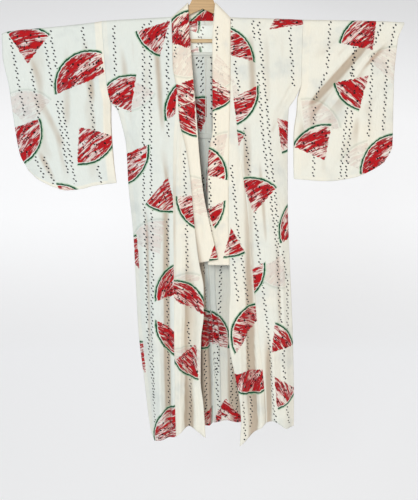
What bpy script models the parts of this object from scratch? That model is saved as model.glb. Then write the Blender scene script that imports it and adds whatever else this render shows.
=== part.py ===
"""Cotton yukata robe, open at the front, hung on a wooden hanger.

Metres, +Z up.  The garment's front faces -Y, so the wearer's right side lies at -X.
The origin is the seat inside the top of the hanger's hook.  Tables are in millimetres.
"""
import math
from collections import namedtuple

import bpy

MM = 0.001

# Cloth as it is built: one layer, the folded collar, the thin inner piece, and the sewn joints.
CLOTH_WALL = 1.6
COLLAR_WALL = 2.4
LINING_WALL = 1.0
SEAM_GAP = 0.4
EDGE_SEAM_HALF = 1.0
ARMHOLE_GAP = 0.9

# Where the cloth turns over the shoulders.
SHOULDER_RADIUS = 10.0
SLEEVE_END_RADIUS = 5.0
SLEEVE_FOOT_RADIUS = 2.5

# Cut of the garment as it hangs, seen from the front.  Rows run from the top down.
Edge = namedtuple("Edge", "height across")
Fold = namedtuple("Fold", "top_height top_across hem_across half_width depth")

NECK_POINT = {"right": Edge(-140, -99), "left": Edge(-142, 89)}
SHOULDER_END = {"right": Edge(-153, -321), "left": Edge(-149, 320)}
ARMHOLE_FOOT = {"right": -405, "left": -345}
COLLAR_END = {"right": -928, "left": -936}
FRONT_TIP = {"right": Edge(-1530, 9), "left": Edge(-1560, 125)}

SIDE_EDGE = {
    "right": (Edge(-153, -321), Edge(-275, -314), Edge(-353, -308), Edge(-405, -298), Edge(-430, -277),
              Edge(-457, -268), Edge(-555, -249), Edge(-666, -245), Edge(-834, -231), Edge(-989, -225),
              Edge(-1171, -218), Edge(-1346, -200), Edge(-1519, -181), Edge(-1560, -168)),
    "left": (Edge(-149, 320), Edge(-275, 318), Edge(-345, 319), Edge(-375, 308), Edge(-398, 297),
             Edge(-430, 278), Edge(-480, 277), Edge(-722, 280), Edge(-941, 291), Edge(-1197, 305),
             Edge(-1409, 312), Edge(-1505, 313)),
}
OKUMI_SEAM = {
    "right": (Edge(-384, -83.4), Edge(-559, -95), Edge(-720, -97), Edge(-918, -96), Edge(-1155, -96),
              Edge(-1363, -95), Edge(-1528, -92)),
    "left": (Edge(-335, 92.4), Edge(-527, 114), Edge(-737, 144), Edge(-952, 164), Edge(-1088, 177),
             Edge(-1295, 201), Edge(-1418, 212), Edge(-1486, 214)),
}
FRONT_EDGE = {
    "right": (Edge(-140, -99), Edge(-231, -96), Edge(-292, -95), Edge(-384, -80), Edge(-464, -75),
              Edge(-559, -53), Edge(-639, -41), Edge(-822, -25), Edge(-928, -12), Edge(-1017, 3),
              Edge(-1104, 3), Edge(-1186, -6), Edge(-1335, -8), Edge(-1420, 2), Edge(-1530, 9)),
    "left": (Edge(-142, 89), Edge(-292, 89), Edge(-335, 89), Edge(-559, 85), Edge(-656, 84),
             Edge(-820, 85), Edge(-936, 88), Edge(-1018, 91), Edge(-1106, 87), Edge(-1178, 87),
             Edge(-1233, 92), Edge(-1295, 104), Edge(-1379, 121), Edge(-1474, 129), Edge(-1560, 125)),
}
COLLAR_FREE_EDGE = {
    "right": (Edge(-99, -46), Edge(-209, -39), Edge(-292, -33), Edge(-370, -27), Edge(-432, -21),
              Edge(-559, -12), Edge(-688, 1), Edge(-802, 24), Edge(-915, 50)),
    "left": (Edge(-98, 40), Edge(-147, 35), Edge(-218, 31), Edge(-496, 32), Edge(-559, 20),
             Edge(-624, 16), Edge(-721, 17), Edge(-936, 17)),
}
CENTRE_BACK_SEAM = (Edge(-151, 6), Edge(-258, 9), Edge(-489, 11), Edge(-1033, 22), Edge(-1209, 34),
                    Edge(-1370, 41), Edge(-1510, 43))
NECK_SEAM = {
    "right": (Edge(-152, -96), Edge(-153, -72), Edge(-152, -34), Edge(-151, 6)),
    "left": (Edge(-152, 86), Edge(-153, 66), Edge(-152, 36), Edge(-151, 6)),
}

# Hem lines: across, then height.
FRONT_HEM = {
    "right": ((-168, -1560), (-130, -1543), (-92, -1528)),
    "left": ((214, -1486), (242, -1478), (290, -1507), (313, -1505)),
}
OKUMI_HEM = {
    "right": ((-92, -1528), (-62, -1504), (-45, -1500), (9, -1530)),
    "left": ((125, -1560), (170, -1522), (214, -1486)),
}
BACK_HEM = {
    "right": ((-168, -1560), (-110, -1532), (-50, -1516), (0, -1510), (43, -1516)),
    "left": ((43, -1516), (90, -1506), (150, -1512), (230, -1500), (313, -1505)),
}

# Half the distance between front and back, down the body and along its side edge.
FULLNESS = ((-140, 10.0), (-250, 16.0), (-450, 25.0), (-800, 32.0), (-1200, 38.0), (-1560, 42.0))
SIDE_GAP = {
    "right": ((-140, 10.0), (-300, 11.0), (-405, 9.0), (-470, 5.0), (-550, 1.0), (-1600, 1.0)),
    "left": ((-140, 10.0), (-260, 11.0), (-345, 9.0), (-440, 5.0), (-530, 1.0), (-1600, 1.0)),
}
SIDE_ROLL = 75.0
HEM_LEVEL = -1540.0

# Main folds: where each starts, where it meets the hem, its half width, and how far it stands
# out (or in, where negative) at the hem.
FRONT_FOLDS = {
    "right": (Fold(-560, -122, -118, 24, -17.0),
              Fold(-600, -70, -76, 26, 9.0),
              Fold(-860, -42, -50, 30, -26.0),
              Fold(-900, 0, 4, 22, 8.0),
              Fold(-620, -172, -158, 24, 8.0)),
    "left": (Fold(-470, 140, 176, 32, -17.0),
             Fold(-640, 96, 132, 24, 9.0),
             Fold(-1000, 196, 226, 34, -19.0),
             Fold(-760, 215, 200, 24, 6.0),
             Fold(-700, 262, 286, 22, 7.0)),
}
BACK_FOLDS = {
    "right": (Fold(-420, -110, -118, 30, -16.0),
              Fold(-500, -60, -66, 26, 9.0),
              Fold(-640, -160, -150, 20, 8.0)),
    "left": (Fold(-420, 120, 112, 34, -15.0),
             Fold(-520, 176, 180, 30, 11.0),
             Fold(-700, 236, 244, 26, -12.0)),
}
# The right half of the back steps forward beside the centre seam, lower down.
BACK_STEP_TOP = -560.0
BACK_STEP_DEPTH = 40.0
BACK_STEP_MARGIN = 6.0
BACK_STEP_WIDTH = 17.0
BACK_STEP_REACH = 150.0

# How quickly folds deepen below their start, and the back's step with them.
FOLD_ONSET = 0.7
STEP_ONSET = 0.8

# Rows down a body panel, as shares of its length, and columns from its inner edge outwards.
ARMHOLE_ROWS = 4
LOWER_ROWS = (0.225, 0.27, 0.33, 0.40, 0.475, 0.0, 0.635, 0.70, 0.76, 0.82, 0.87, 0.915, 0.96, 1.0)
COLLAR_END_ROW = 5
NECK_ROWS = 4
HEM_PULL_START = 0.6
NOTCH_STEP = 0.018
BODY_COLUMNS = (0.0, 0.025, 0.055, 0.09, 0.18, 0.30, 0.43, 0.56, 0.68, 0.79, 0.88, 0.95, 1.0)
OKUMI_COLUMNS = (0.0, 0.25, 0.5, 0.75, 1.0)
COLLAR_COLUMNS = (0.0, 0.35, 0.7, 1.0)
ARC_STEPS = 4

# How far the collar's free edge stands in front of its seam, from the neck to its end.
COLLAR_LIFT = {"right": (0.0, 3.0, 8.0, 13.0), "left": (0.0, -1.0, -4.0, -6.0)}
COLLAR_FREE_TOP = {"right": -102.0, "left": -100.0}
COLLAR_FREE_RIDGE = {"right": Edge(-97, -46), "left": Edge(-95, 40)}
COLLAR_FREE_FOOT = {"right": -915.0, "left": -936.0}
COLLAR_BACK_HEIGHT = -101.0
COLLAR_BACK_ACROSS = {"right": (-40, -22, -8, 5), "left": (36, 24, 14, 5)}
COLLAR_BACK_LEAN = 1.0
# Over the shoulder the collar stands up from the panel, so its thicker edge needs more room.
COLLAR_RIDGE_GAP = 1.1

# Sleeves.  Top and foot lines: across, then height.  End and inner lines: height, then across.
SLEEVE_TOP = {
    "right": ((-321, -153), (-346, -157), (-475, -171), (-625, -186), (-640, -192)),
    "left": ((320, -149), (406, -150), (560, -153), (644, -157)),
}
SLEEVE_END = {
    "right": (Edge(-192, -640), Edge(-255, -640), Edge(-359, -623), Edge(-486, -611), Edge(-575, -597),
              Edge(-625, -572)),
    "left": (Edge(-157, 644), Edge(-213, 623), Edge(-338, 615), Edge(-508, 619), Edge(-547, 619),
             Edge(-600, 594)),
}
SLEEVE_FOOT = {
    "right": ((-285, -668), (-356, -677), (-400, -688), (-452, -692), (-487, -682), (-540, -656),
              (-572, -625)),
    "left": ((301, -655), (410, -662), (497, -650), (557, -624), (594, -600)),
}
SLEEVE_INNER = {
    "right": (Edge(-153, -321), Edge(-275, -314), Edge(-353, -308), Edge(-405, -298), Edge(-465, -299),
              Edge(-594, -293), Edge(-668, -285)),
    "left": (Edge(-149, 320), Edge(-275, 318), Edge(-345, 319), Edge(-372, 314), Edge(-398, 308),
             Edge(-438, 306), Edge(-508, 298), Edge(-600, 299), Edge(-655, 301)),
}
CUFF_FOOT = {"right": -400.0, "left": -385.0}
SLEEVE_LOWER_ROWS = (0.15, 0.33, 0.52, 0.70, 0.85, 0.94)
SLEEVE_COLUMNS = (0.0, 0.07, 0.18, 0.30, 0.42, 0.54, 0.66, 0.77, 0.87, 0.94, 1.0)
SLEEVE_MID_HALF = 12.0
SLEEVE_ARMHOLE_HALF = 8.5
CUFF_HALF = 7.0
CUFF_CLOSING = 60.0
# Shares of a sleeve's height over which the top's bend, the fullness and the foot come in.
SLEEVE_TOP_REACH = 0.2
SLEEVE_FULL_REACH = 0.25
SLEEVE_FOOT_REACH = 0.3125
SLEEVE_FOLDS = {
    "right": (Fold(-200, -420, -400, 60, 6.0),
              Fold(-200, -540, -510, 50, -5.0)),
    "left": (Fold(-170, 565, 180, 46, -8.0),
             Fold(-170, 640, 330, 60, 6.0)),
}
SLEEVE_BACK_FOLDS = {
    "right": (Fold(-200, -400, -430, 60, -6.0),
              Fold(-200, -520, -560, 50, 5.0)),
    "left": (Fold(-180, 430, 420, 60, 6.0),
             Fold(-180, 540, 520, 50, -6.0)),
}
SLEEVE_FOLD_HEM = -690.0

# Inner shoulder piece on the inside of the back.
LINING_LEFT = -150.0
LINING_RIGHT = 150.0
LINING_TOP = -164.0
LINING_HEM = -258.0
LINING_SPACE = 0.6
LINING_COLUMNS = 10

# Hanger.
HANGER_HALF_THICKNESS = 6.0
HANGER_TOP = -70.0
HANGER_UPPER = ((0, -70), (18, -73), (32, -84), (38, -98), (46, -111), (58, -124), (95, -155),
                (140, -163), (190, -169), (208, -176), (215, -190), (215, -214), (208, -228),
                (198, -231), (188, -231))
HANGER_LOWER = ((188, -206), (150, -196), (100, -170), (60, -143), (41, -133), (0, -115))
BAR_RADIUS = 6.0
BAR_HEIGHT = -214.0
BAR_SIDES = 16
BAR_SHARP_ANGLE = 40.0
BAR_END = 187.7
WIRE_RADIUS = 2.0
HOOK_RADIUS = 22.0
HOOK_CENTRE = -20.0
HOOK_SHANK = ((0.0, -61.0), (3.0, -52.0), (9.0, -43.0))
HOOK_START_ANGLE = -40.0
HOOK_END_ANGLE = 205.0
HOOK_STEPS = 14


def remove_everything():
    """Start from an empty file."""
    for thing in list(bpy.data.objects):
        bpy.data.objects.remove(thing, do_unlink=True)


def on_curve(rows, key):
    """The value of a table of (key, value) rows at a key, on a smooth curve that doesn't overshoot."""
    rows = sorted(rows)
    if key <= rows[0][0]:
        return rows[0][1]
    if key >= rows[-1][0]:
        return rows[-1][1]
    slopes = [(b[1] - a[1]) / (b[0] - a[0]) for a, b in zip(rows, rows[1:])]
    tangents = [slopes[0]]
    for before, after in zip(slopes, slopes[1:]):
        same_way = before * after > 0
        tangents.append(2 * before * after / (before + after) if same_way else 0.0)
    tangents.append(slopes[-1])
    for i, (a, b) in enumerate(zip(rows, rows[1:])):
        if key <= b[0]:
            span = b[0] - a[0]
            t = (key - a[0]) / span
            blend = t * t * (3 - 2 * t)
            swing = span * t * (1 - t) * (tangents[i] * (1 - t) - tangents[i + 1] * t)
            return a[1] + (b[1] - a[1]) * blend + swing
    return rows[-1][1]


def mix(a, b, t):
    """Straight blend from a to b."""
    return a + (b - a) * t


def fold_relief(folds, across, height, hem):
    """How far all folds together lift the cloth at one place."""
    total = 0.0
    for fold in folds:
        if height < fold.top_height:
            run = (fold.top_height - height) / (fold.top_height - hem)
            centre = mix(fold.top_across, fold.hem_across, run)
            off = abs(across - centre) / fold.half_width
            if off < 1:
                total += fold.depth * min(1.0, run) ** FOLD_ONSET * math.cos(off * math.pi / 2) ** 2
    return total


def side_rise(side, across, height):
    """0 at the side edge, 1 where the cloth has rounded to its full depth."""
    inward = abs(on_curve(SIDE_EDGE[side], height) - across)
    return math.sin(min(1.0, inward / SIDE_ROLL) * math.pi / 2)


def front_depth(side, across, height):
    """How far in front of the middle plane the front hangs."""
    edge = on_curve(SIDE_GAP[side], height)
    full = on_curve(FULLNESS, height) + fold_relief(FRONT_FOLDS[side], across, height, HEM_LEVEL)
    return edge + (full - edge) * side_rise(side, across, height)


def back_depth(side, across, height):
    """How far behind the middle plane the back hangs."""
    edge = on_curve(SIDE_GAP[side], height)
    full = on_curve(FULLNESS, height) + fold_relief(BACK_FOLDS[side], across, height, HEM_LEVEL)
    depth = edge + (full - edge) * side_rise(side, across, height)
    inward = on_curve(CENTRE_BACK_SEAM, height) - BACK_STEP_MARGIN - across
    if side == "right" and height < BACK_STEP_TOP and inward > 0:
        run = min(1.0, (BACK_STEP_TOP - height) / (BACK_STEP_TOP - HEM_LEVEL))
        step = min(1.0, inward / BACK_STEP_WIDTH)
        fade = max(0.0, 1 - max(0.0, inward - BACK_STEP_WIDTH) / BACK_STEP_REACH)
        shape = step * step * (3 - 2 * step) * fade * fade * (3 - 2 * fade)
        depth -= BACK_STEP_DEPTH * run ** STEP_ONSET * shape
    return depth


def panel_shares(side):
    """The rows of a body panel from shoulder to hem, as shares of its length."""
    top = SHOULDER_END[side].height - SHOULDER_RADIUS
    foot = SIDE_EDGE[side][-1].height
    armhole = (ARMHOLE_FOOT[side] - top) / (foot - top)
    shares = [armhole * i / ARMHOLE_ROWS for i in range(ARMHOLE_ROWS + 1)]
    lower = list(LOWER_ROWS)
    okumi_top = okumi_top_height(side)
    reach = (COLLAR_END[side] - okumi_top) / (FRONT_TIP[side].height - okumi_top)
    lower[COLLAR_END_ROW] = armhole + (1 - armhole) * reach
    return shares + [armhole + NOTCH_STEP] + lower


def okumi_top_height(side):
    """Where the narrow panel starts, below the shoulder."""
    return OKUMI_SEAM[side][0].height


def inner_height(side, share):
    """Height on a body front's inner edge."""
    top = NECK_POINT[side].height - SHOULDER_RADIUS
    armhole = panel_shares(side)[ARMHOLE_ROWS]
    okumi_top = okumi_top_height(side)
    if share <= armhole:
        return mix(top, okumi_top, share / armhole)
    return mix(okumi_top, OKUMI_SEAM[side][-1].height, (share - armhole) / (1 - armhole))


def outer_height(side, share):
    """Height on a body panel's side edge."""
    top = SHOULDER_END[side].height - SHOULDER_RADIUS
    return mix(top, SIDE_EDGE[side][-1].height, share)


def hem_offset(hem, across, share):
    """How far the hem line pulls a lower row off the straight line between its ends."""
    ends = sorted((hem[0], hem[-1]))
    t = (across - ends[0][0]) / (ends[1][0] - ends[0][0])
    straight = mix(ends[0][1], ends[1][1], min(1.0, max(0.0, t)))
    pull = max(0.0, (share - HEM_PULL_START) / (1 - HEM_PULL_START)) ** 2
    return (on_curve(hem, across) - straight) * pull


def inner_across(side, height):
    """A body front's inner edge: the collar's seam above, the okumi's seam below."""
    if height > okumi_top_height(side):
        return on_curve(FRONT_EDGE[side], height)
    return on_curve(OKUMI_SEAM[side], height)


def outwards(side):
    """The direction from the centre to this side."""
    return -1.0 if side == "right" else 1.0


def body_front_row(side, share):
    """Points of one row of a body front, from its inner edge to the side."""
    start_z = inner_height(side, share)
    end_z = outer_height(side, share)
    half = SEAM_GAP / 2 * outwards(side)
    start_x = inner_across(side, start_z) + half
    end_x = on_curve(SIDE_EDGE[side], end_z) - half
    row = []
    for column in BODY_COLUMNS:
        x = mix(start_x, end_x, column)
        z = mix(start_z, end_z, column)
        depth = front_depth(side, x, z)
        row.append((x, -depth, z + hem_offset(FRONT_HEM[side], x, share)))
    return row


def back_inner_edge(side, share):
    """A body back's inner edge: round the neck, then down the centre seam."""
    shares = panel_shares(side)
    index = shares.index(share)
    if index < NECK_ROWS:
        edge = NECK_SEAM[side][index]
        return edge.across, edge.height
    start = shares[NECK_ROWS - 1]
    height = mix(NECK_SEAM[side][-1].height, CENTRE_BACK_SEAM[-1].height, (share - start) / (1 - start))
    return on_curve(CENTRE_BACK_SEAM, height), height


def body_back_row(side, share):
    """Points of one row of a body back, from its inner edge to the side."""
    start_x, start_z = back_inner_edge(side, share)
    end_z = outer_height(side, share)
    half = SEAM_GAP / 2 * outwards(side)
    start_x += half
    end_x = on_curve(SIDE_EDGE[side], end_z) - half
    row = []
    for column in BODY_COLUMNS:
        x = mix(start_x, end_x, column)
        z = mix(start_z, end_z, column)
        depth = back_depth(side, x, z)
        row.append((x, depth, z + hem_offset(BACK_HEM[side], x, share)))
    return row


def arc_angles():
    """Angles over the shoulder between the front sheet and the back sheet."""
    return [math.pi * i / ARC_STEPS for i in range(1, ARC_STEPS)]


def body_rows(side):
    """A body panel from the front hem, over the shoulder, to the back hem."""
    shares = panel_shares(side)
    rows = [body_front_row(side, share) for share in reversed(shares)]
    front_top = rows[-1]
    back_top = body_back_row(side, shares[0])
    for angle in arc_angles():
        t = (1 - math.cos(angle)) / 2
        rise = SHOULDER_RADIUS * math.sin(angle)
        rows.append([(mix(a[0], b[0], t), -SHOULDER_RADIUS * math.cos(angle), mix(a[2], b[2], t) + rise)
                     for a, b in zip(front_top, back_top)])
    rows += [body_back_row(side, share) for share in shares]
    return rows


def okumi_height(side, share):
    """Height on the okumi's free edge."""
    armhole = panel_shares(side)[ARMHOLE_ROWS]
    t = (share - armhole) / (1 - armhole)
    return mix(okumi_top_height(side), FRONT_TIP[side].height, t)


def okumi_rows(side):
    """The narrow front panel, from its top to the hem."""
    half = SEAM_GAP / 2 * outwards(side)
    rows = []
    for share in panel_shares(side)[ARMHOLE_ROWS:]:
        seam_z = inner_height(side, share)
        free_z = okumi_height(side, share)
        seam_x = on_curve(OKUMI_SEAM[side], seam_z) - half
        free_x = on_curve(FRONT_EDGE[side], free_z) + half
        row = []
        for column in OKUMI_COLUMNS:
            x = mix(seam_x, free_x, column)
            z = mix(seam_z, free_z, column)
            depth = front_depth(side, x, z)
            row.append((x, -depth, z + hem_offset(OKUMI_HEM[side], x, share)))
        rows.append(row)
    return rows


def collar_lift(side, t):
    """How far the collar's free edge stands forward, t from the neck to its end."""
    table = COLLAR_LIFT[side]
    return on_curve(tuple((i / (len(table) - 1), value) for i, value in enumerate(table)), t)


def collar_front_stations(side):
    """Seam and free points down one front, from the neck to the collar's end."""
    shares = panel_shares(side)
    heights = [inner_height(side, share) for share in shares[:ARMHOLE_ROWS + 1]]
    last = ARMHOLE_ROWS + 2 + COLLAR_END_ROW
    heights += [okumi_height(side, share) for share in shares[ARMHOLE_ROWS + 1:last + 1]]
    top = heights[0]
    stations = []
    for height in heights:
        t = (height - top) / (COLLAR_END[side] - top)
        seam_x = on_curve(FRONT_EDGE[side], height) - SEAM_GAP / 2 * outwards(side)
        seam_y = -front_depth(side, seam_x, height)
        free_z = mix(COLLAR_FREE_TOP[side], COLLAR_FREE_FOOT[side], t)
        free_x = on_curve(COLLAR_FREE_EDGE[side], free_z)
        free_y = seam_y - collar_lift(side, t)
        stations.append(((seam_x, seam_y, height), (free_x, free_y, free_z)))
    return stations


def collar_top_stations(side):
    """Seam and free points over the shoulder and along the back of the neck to the centre."""
    stations = []
    front_z = NECK_POINT[side].height - SHOULDER_RADIUS
    gap = (COLLAR_RIDGE_GAP - SEAM_GAP / 2) * outwards(side)
    front_x = on_curve(FRONT_EDGE[side], front_z) - gap
    back = NECK_SEAM[side][0]
    for angle in arc_angles():
        t = (1 - math.cos(angle)) / 2
        rise = SHOULDER_RADIUS * math.sin(angle)
        y = -SHOULDER_RADIUS * math.cos(angle)
        seam = (mix(front_x, back.across - gap, t), y, mix(front_z, back.height, t) + rise)
        ridge = COLLAR_FREE_RIDGE[side]
        free_rise = (ridge.height - COLLAR_FREE_TOP[side]) * math.sin(angle)
        free = (ridge.across, y, COLLAR_FREE_TOP[side] + free_rise)
        stations.append((seam, free))
    for edge, across in zip(NECK_SEAM[side], COLLAR_BACK_ACROSS[side]):
        x = edge.across
        y = back_depth(side, x, edge.height)
        stations.append(((x, y, edge.height + SEAM_GAP), (across, y + COLLAR_BACK_LEAN, COLLAR_BACK_HEIGHT)))
    return stations


def collar_rows():
    """The collar from the right front's end, round the neck, to the left front's end."""
    right = list(reversed(collar_front_stations("right"))) + collar_top_stations("right")
    left = list(reversed(collar_top_stations("left")[:-1])) + collar_front_stations("left")
    rows = []
    for seam, free in right + left:
        rows.append([tuple(mix(a, b, column) for a, b in zip(seam, free)) for column in COLLAR_COLUMNS])
    return rows


def sleeve_shares(side):
    """Rows down a sleeve: those of the armhole, then down to the foot."""
    top = SHOULDER_END[side].height - SHOULDER_RADIUS
    foot = SLEEVE_INNER[side][-1].height
    armhole = (ARMHOLE_FOOT[side] - top) / (foot - top)
    shares = [armhole * i / ARMHOLE_ROWS for i in range(ARMHOLE_ROWS + 1)]
    return shares + [mix(armhole, 1.0, row) for row in SLEEVE_LOWER_ROWS] + [1.0]


def sleeve_point(side, column, share):
    """Across and height on a sleeve, from its four edges."""
    top = SLEEVE_TOP[side]
    foot = SLEEVE_FOOT[side]
    room = (ARMHOLE_GAP - SEAM_GAP / 2) * outwards(side)
    radius = mix(SHOULDER_RADIUS, SLEEVE_END_RADIUS, column)
    top_x = mix(top[0][0], top[-1][0], column)
    top_z = on_curve(top, top_x) - radius
    foot_x = mix(foot[0][0], foot[-1][0], column)
    foot_z = on_curve(foot, foot_x) + SLEEVE_FOOT_RADIUS
    inner_top = top[0][1] - SHOULDER_RADIUS
    inner_z = mix(inner_top, foot[0][1] + SLEEVE_FOOT_RADIUS, share)
    inner_x = on_curve(SLEEVE_INNER[side], inner_z)
    end_top = top[-1][1] - SLEEVE_END_RADIUS
    end_z = mix(end_top, foot[-1][1] + SLEEVE_FOOT_RADIUS, share)
    end_x = on_curve(SLEEVE_END[side], end_z)
    corners_x = mix(mix(top[0][0], top[-1][0], column), mix(foot[0][0], foot[-1][0], column), share)
    corners_z = mix(mix(inner_top, end_top, column),
                    mix(foot[0][1] + SLEEVE_FOOT_RADIUS, foot[-1][1] + SLEEVE_FOOT_RADIUS, column), share)
    x = mix(top_x, foot_x, share) + mix(inner_x, end_x, column) - corners_x
    z = mix(top_z, foot_z, share) + mix(inner_z, end_z, column) - corners_z
    return x + room * (1 - column), z


def sleeve_half_gap(side, column, height, share, folds, across):
    """Half the distance between a sleeve's two layers at one place."""
    radius = mix(SHOULDER_RADIUS, SLEEVE_END_RADIUS, column)
    inner = max(on_curve(SIDE_GAP[side], height), SLEEVE_ARMHOLE_HALF)
    closed = min(1.0, max(0.0, (CUFF_FOOT[side] - height) / CUFF_CLOSING))
    end = mix(CUFF_HALF, EDGE_SEAM_HALF, closed)
    edges = mix(inner, end, column * column)
    middle = 4 * column * (1 - column)
    bulge = (SLEEVE_MID_HALF + fold_relief(folds, across, height, SLEEVE_FOLD_HEM) - edges) * middle
    body = edges + bulge * math.sin(min(1.0, share / SLEEVE_FULL_REACH) * math.pi / 2)
    from_top = mix(radius, body, min(1.0, share / SLEEVE_TOP_REACH))
    to_foot = math.sin(min(1.0, (1 - share) / SLEEVE_FOOT_REACH) * math.pi / 2)
    foot = min(SLEEVE_FOOT_RADIUS, from_top)
    return foot + (from_top - foot) * to_foot


def sleeve_rows(side):
    """Closed rings of a sleeve, from the armhole to the cuff."""
    shares = sleeve_shares(side)
    rows = []
    for column in SLEEVE_COLUMNS:
        front = []
        back = []
        for share in shares:
            x, z = sleeve_point(side, column, share)
            front.append((x, -sleeve_half_gap(side, column, z, share, SLEEVE_FOLDS[side], x), z))
            back.append((x, sleeve_half_gap(side, column, z, share, SLEEVE_BACK_FOLDS[side], x), z))
        radius = mix(SHOULDER_RADIUS, SLEEVE_END_RADIUS, column)
        top = front[0]
        arc = [(top[0], radius * math.cos(angle), top[2] + radius * math.sin(angle))
               for angle in arc_angles()]
        foot = front[-1]
        keel = (foot[0], 0.0, foot[2] - SLEEVE_FOOT_RADIUS)
        rows.append(front + [keel] + list(reversed(back)) + arc)
    return rows


def lining_rows():
    """The inner shoulder piece, just inside the back."""
    rows = []
    for height in (LINING_TOP, mix(LINING_TOP, LINING_HEM, 0.5), LINING_HEM):
        row = []
        for i in range(LINING_COLUMNS + 1):
            x = mix(LINING_LEFT, LINING_RIGHT, i / LINING_COLUMNS)
            side = "right" if x < 0 else "left"
            inside = CLOTH_WALL / 2 + LINING_SPACE + LINING_WALL / 2
            row.append((x, back_depth(side, x, height) - inside, height))
        rows.append(row)
    return rows


def material(name, colour, roughness, metallic=0.0):
    """A plain finish in the part's own colour."""
    made = bpy.data.materials.new(name)
    made.use_nodes = True
    shader = made.node_tree.nodes["Principled BSDF"]
    shader.inputs["Base Color"].default_value = (*colour, 1.0)
    shader.inputs["Roughness"].default_value = roughness
    shader.inputs["Metallic"].default_value = metallic
    made.diffuse_color = (*colour, 1.0)
    return made


def keep(thing, collection, finish):
    """Put an object in the part's collection with its finish."""
    for old in list(thing.users_collection):
        old.objects.unlink(thing)
    collection.objects.link(thing)
    thing.data.materials.clear()
    thing.data.materials.append(finish)
    return thing


def cloth(name, rows, wall, collection, finish, ring=False):
    """A wall of cloth through rows of points in millimetres."""
    across = len(rows[0])
    points = [tuple(value * MM for value in point) for row in rows for point in row]
    faces = []
    for r in range(len(rows) - 1):
        for c in range(across if ring else across - 1):
            after = (c + 1) % across
            faces.append((r * across + c, r * across + after,
                          (r + 1) * across + after, (r + 1) * across + c))
    mesh = bpy.data.meshes.new(name)
    mesh.from_pydata(points, [], faces)
    mesh.validate()
    mesh.shade_smooth()
    thing = bpy.data.objects.new(name, mesh)
    wall_maker = thing.modifiers.new("wall", "SOLIDIFY")
    wall_maker.thickness = wall * MM
    wall_maker.offset = 0.0
    wall_maker.use_quality_normals = True
    return keep(thing, collection, finish)


def hanger_body(collection, finish):
    """Wooden arms with a notch under the hook and a step that takes the bar's ends."""
    half = HANGER_UPPER + HANGER_LOWER
    outline = list(half) + [(-x, z) for x, z in reversed(half[1:-1])]
    curve = bpy.data.curves.new("hanger_body", "CURVE")
    curve.dimensions = "2D"
    curve.fill_mode = "BOTH"
    curve.extrude = HANGER_HALF_THICKNESS * MM
    spline = curve.splines.new("POLY")
    spline.points.add(len(outline) - 1)
    for point, (x, z) in zip(spline.points, outline):
        point.co = (x * MM, z * MM, 0.0, 1.0)
    spline.use_cyclic_u = True
    thing = bpy.data.objects.new("hanger_body", curve)
    thing.rotation_euler = (math.pi / 2, 0.0, 0.0)
    return keep(thing, collection, finish)


def hanger_bar(collection, finish):
    """Round bar between the arms."""
    bpy.ops.mesh.primitive_cylinder_add(vertices=BAR_SIDES, radius=BAR_RADIUS * MM,
                                        depth=2 * BAR_END * MM, location=(0, 0, BAR_HEIGHT * MM),
                                        rotation=(0, math.pi / 2, 0))
    thing = bpy.context.object
    thing.name = "hanger_bar"
    thing.data.shade_smooth()
    thing.data.set_sharp_from_angle(angle=math.radians(BAR_SHARP_ANGLE))
    return keep(thing, collection, finish)


def hanger_hook(collection, finish):
    """Wire hook whose inner top is the origin."""
    path = [(0.0, HANGER_TOP + SEAM_GAP), *HOOK_SHANK]
    start = math.radians(HOOK_START_ANGLE)
    end = math.radians(HOOK_END_ANGLE)
    for i in range(HOOK_STEPS + 1):
        angle = mix(start, end, i / HOOK_STEPS)
        path.append((HOOK_RADIUS * math.cos(angle), HOOK_CENTRE + HOOK_RADIUS * math.sin(angle)))
    curve = bpy.data.curves.new("hanger_hook", "CURVE")
    curve.dimensions = "3D"
    curve.bevel_depth = WIRE_RADIUS * MM
    curve.bevel_resolution = 2
    curve.use_fill_caps = True
    spline = curve.splines.new("POLY")
    spline.points.add(len(path) - 1)
    for point, (x, z) in zip(spline.points, path):
        point.co = (x * MM, 0.0, z * MM, 1.0)
    return keep(bpy.data.objects.new("hanger_hook", curve), collection, finish)


def build():
    """Make every piece of the robe and its hanger."""
    remove_everything()
    collection = bpy.data.collections.new("yukata_robe")
    bpy.context.scene.collection.children.link(collection)
    cotton = {name: material(name, colour, 0.85) for name, colour in (
        ("cotton_body", (0.86, 0.85, 0.79)),
        ("cotton_okumi", (0.82, 0.80, 0.73)),
        ("cotton_sleeve", (0.88, 0.87, 0.83)),
        ("cotton_collar", (0.88, 0.84, 0.74)),
        ("cotton_lining", (0.84, 0.86, 0.82)))}
    wood = material("hanger_wood", (0.56, 0.34, 0.15), 0.45)
    bar_wood = material("bar_wood", (0.70, 0.53, 0.30), 0.5)
    wire = material("hook_steel", (0.62, 0.62, 0.60), 0.3, 1.0)
    for side in ("right", "left"):
        cloth("body_" + side, body_rows(side), CLOTH_WALL, collection, cotton["cotton_body"])
        cloth("okumi_" + side, okumi_rows(side), CLOTH_WALL, collection, cotton["cotton_okumi"])
        cloth("sleeve_" + side, sleeve_rows(side), CLOTH_WALL, collection, cotton["cotton_sleeve"], ring=True)
    cloth("collar", collar_rows(), COLLAR_WALL, collection, cotton["cotton_collar"])
    cloth("shoulder_lining", lining_rows(), LINING_WALL, collection, cotton["cotton_lining"])
    hanger_body(collection, wood)
    hanger_bar(collection, bar_wood)
    hanger_hook(collection, wire)


build()
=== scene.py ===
import math
from collections import namedtuple
from functools import lru_cache

import bpy
import numpy as np
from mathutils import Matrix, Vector, noise


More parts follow.
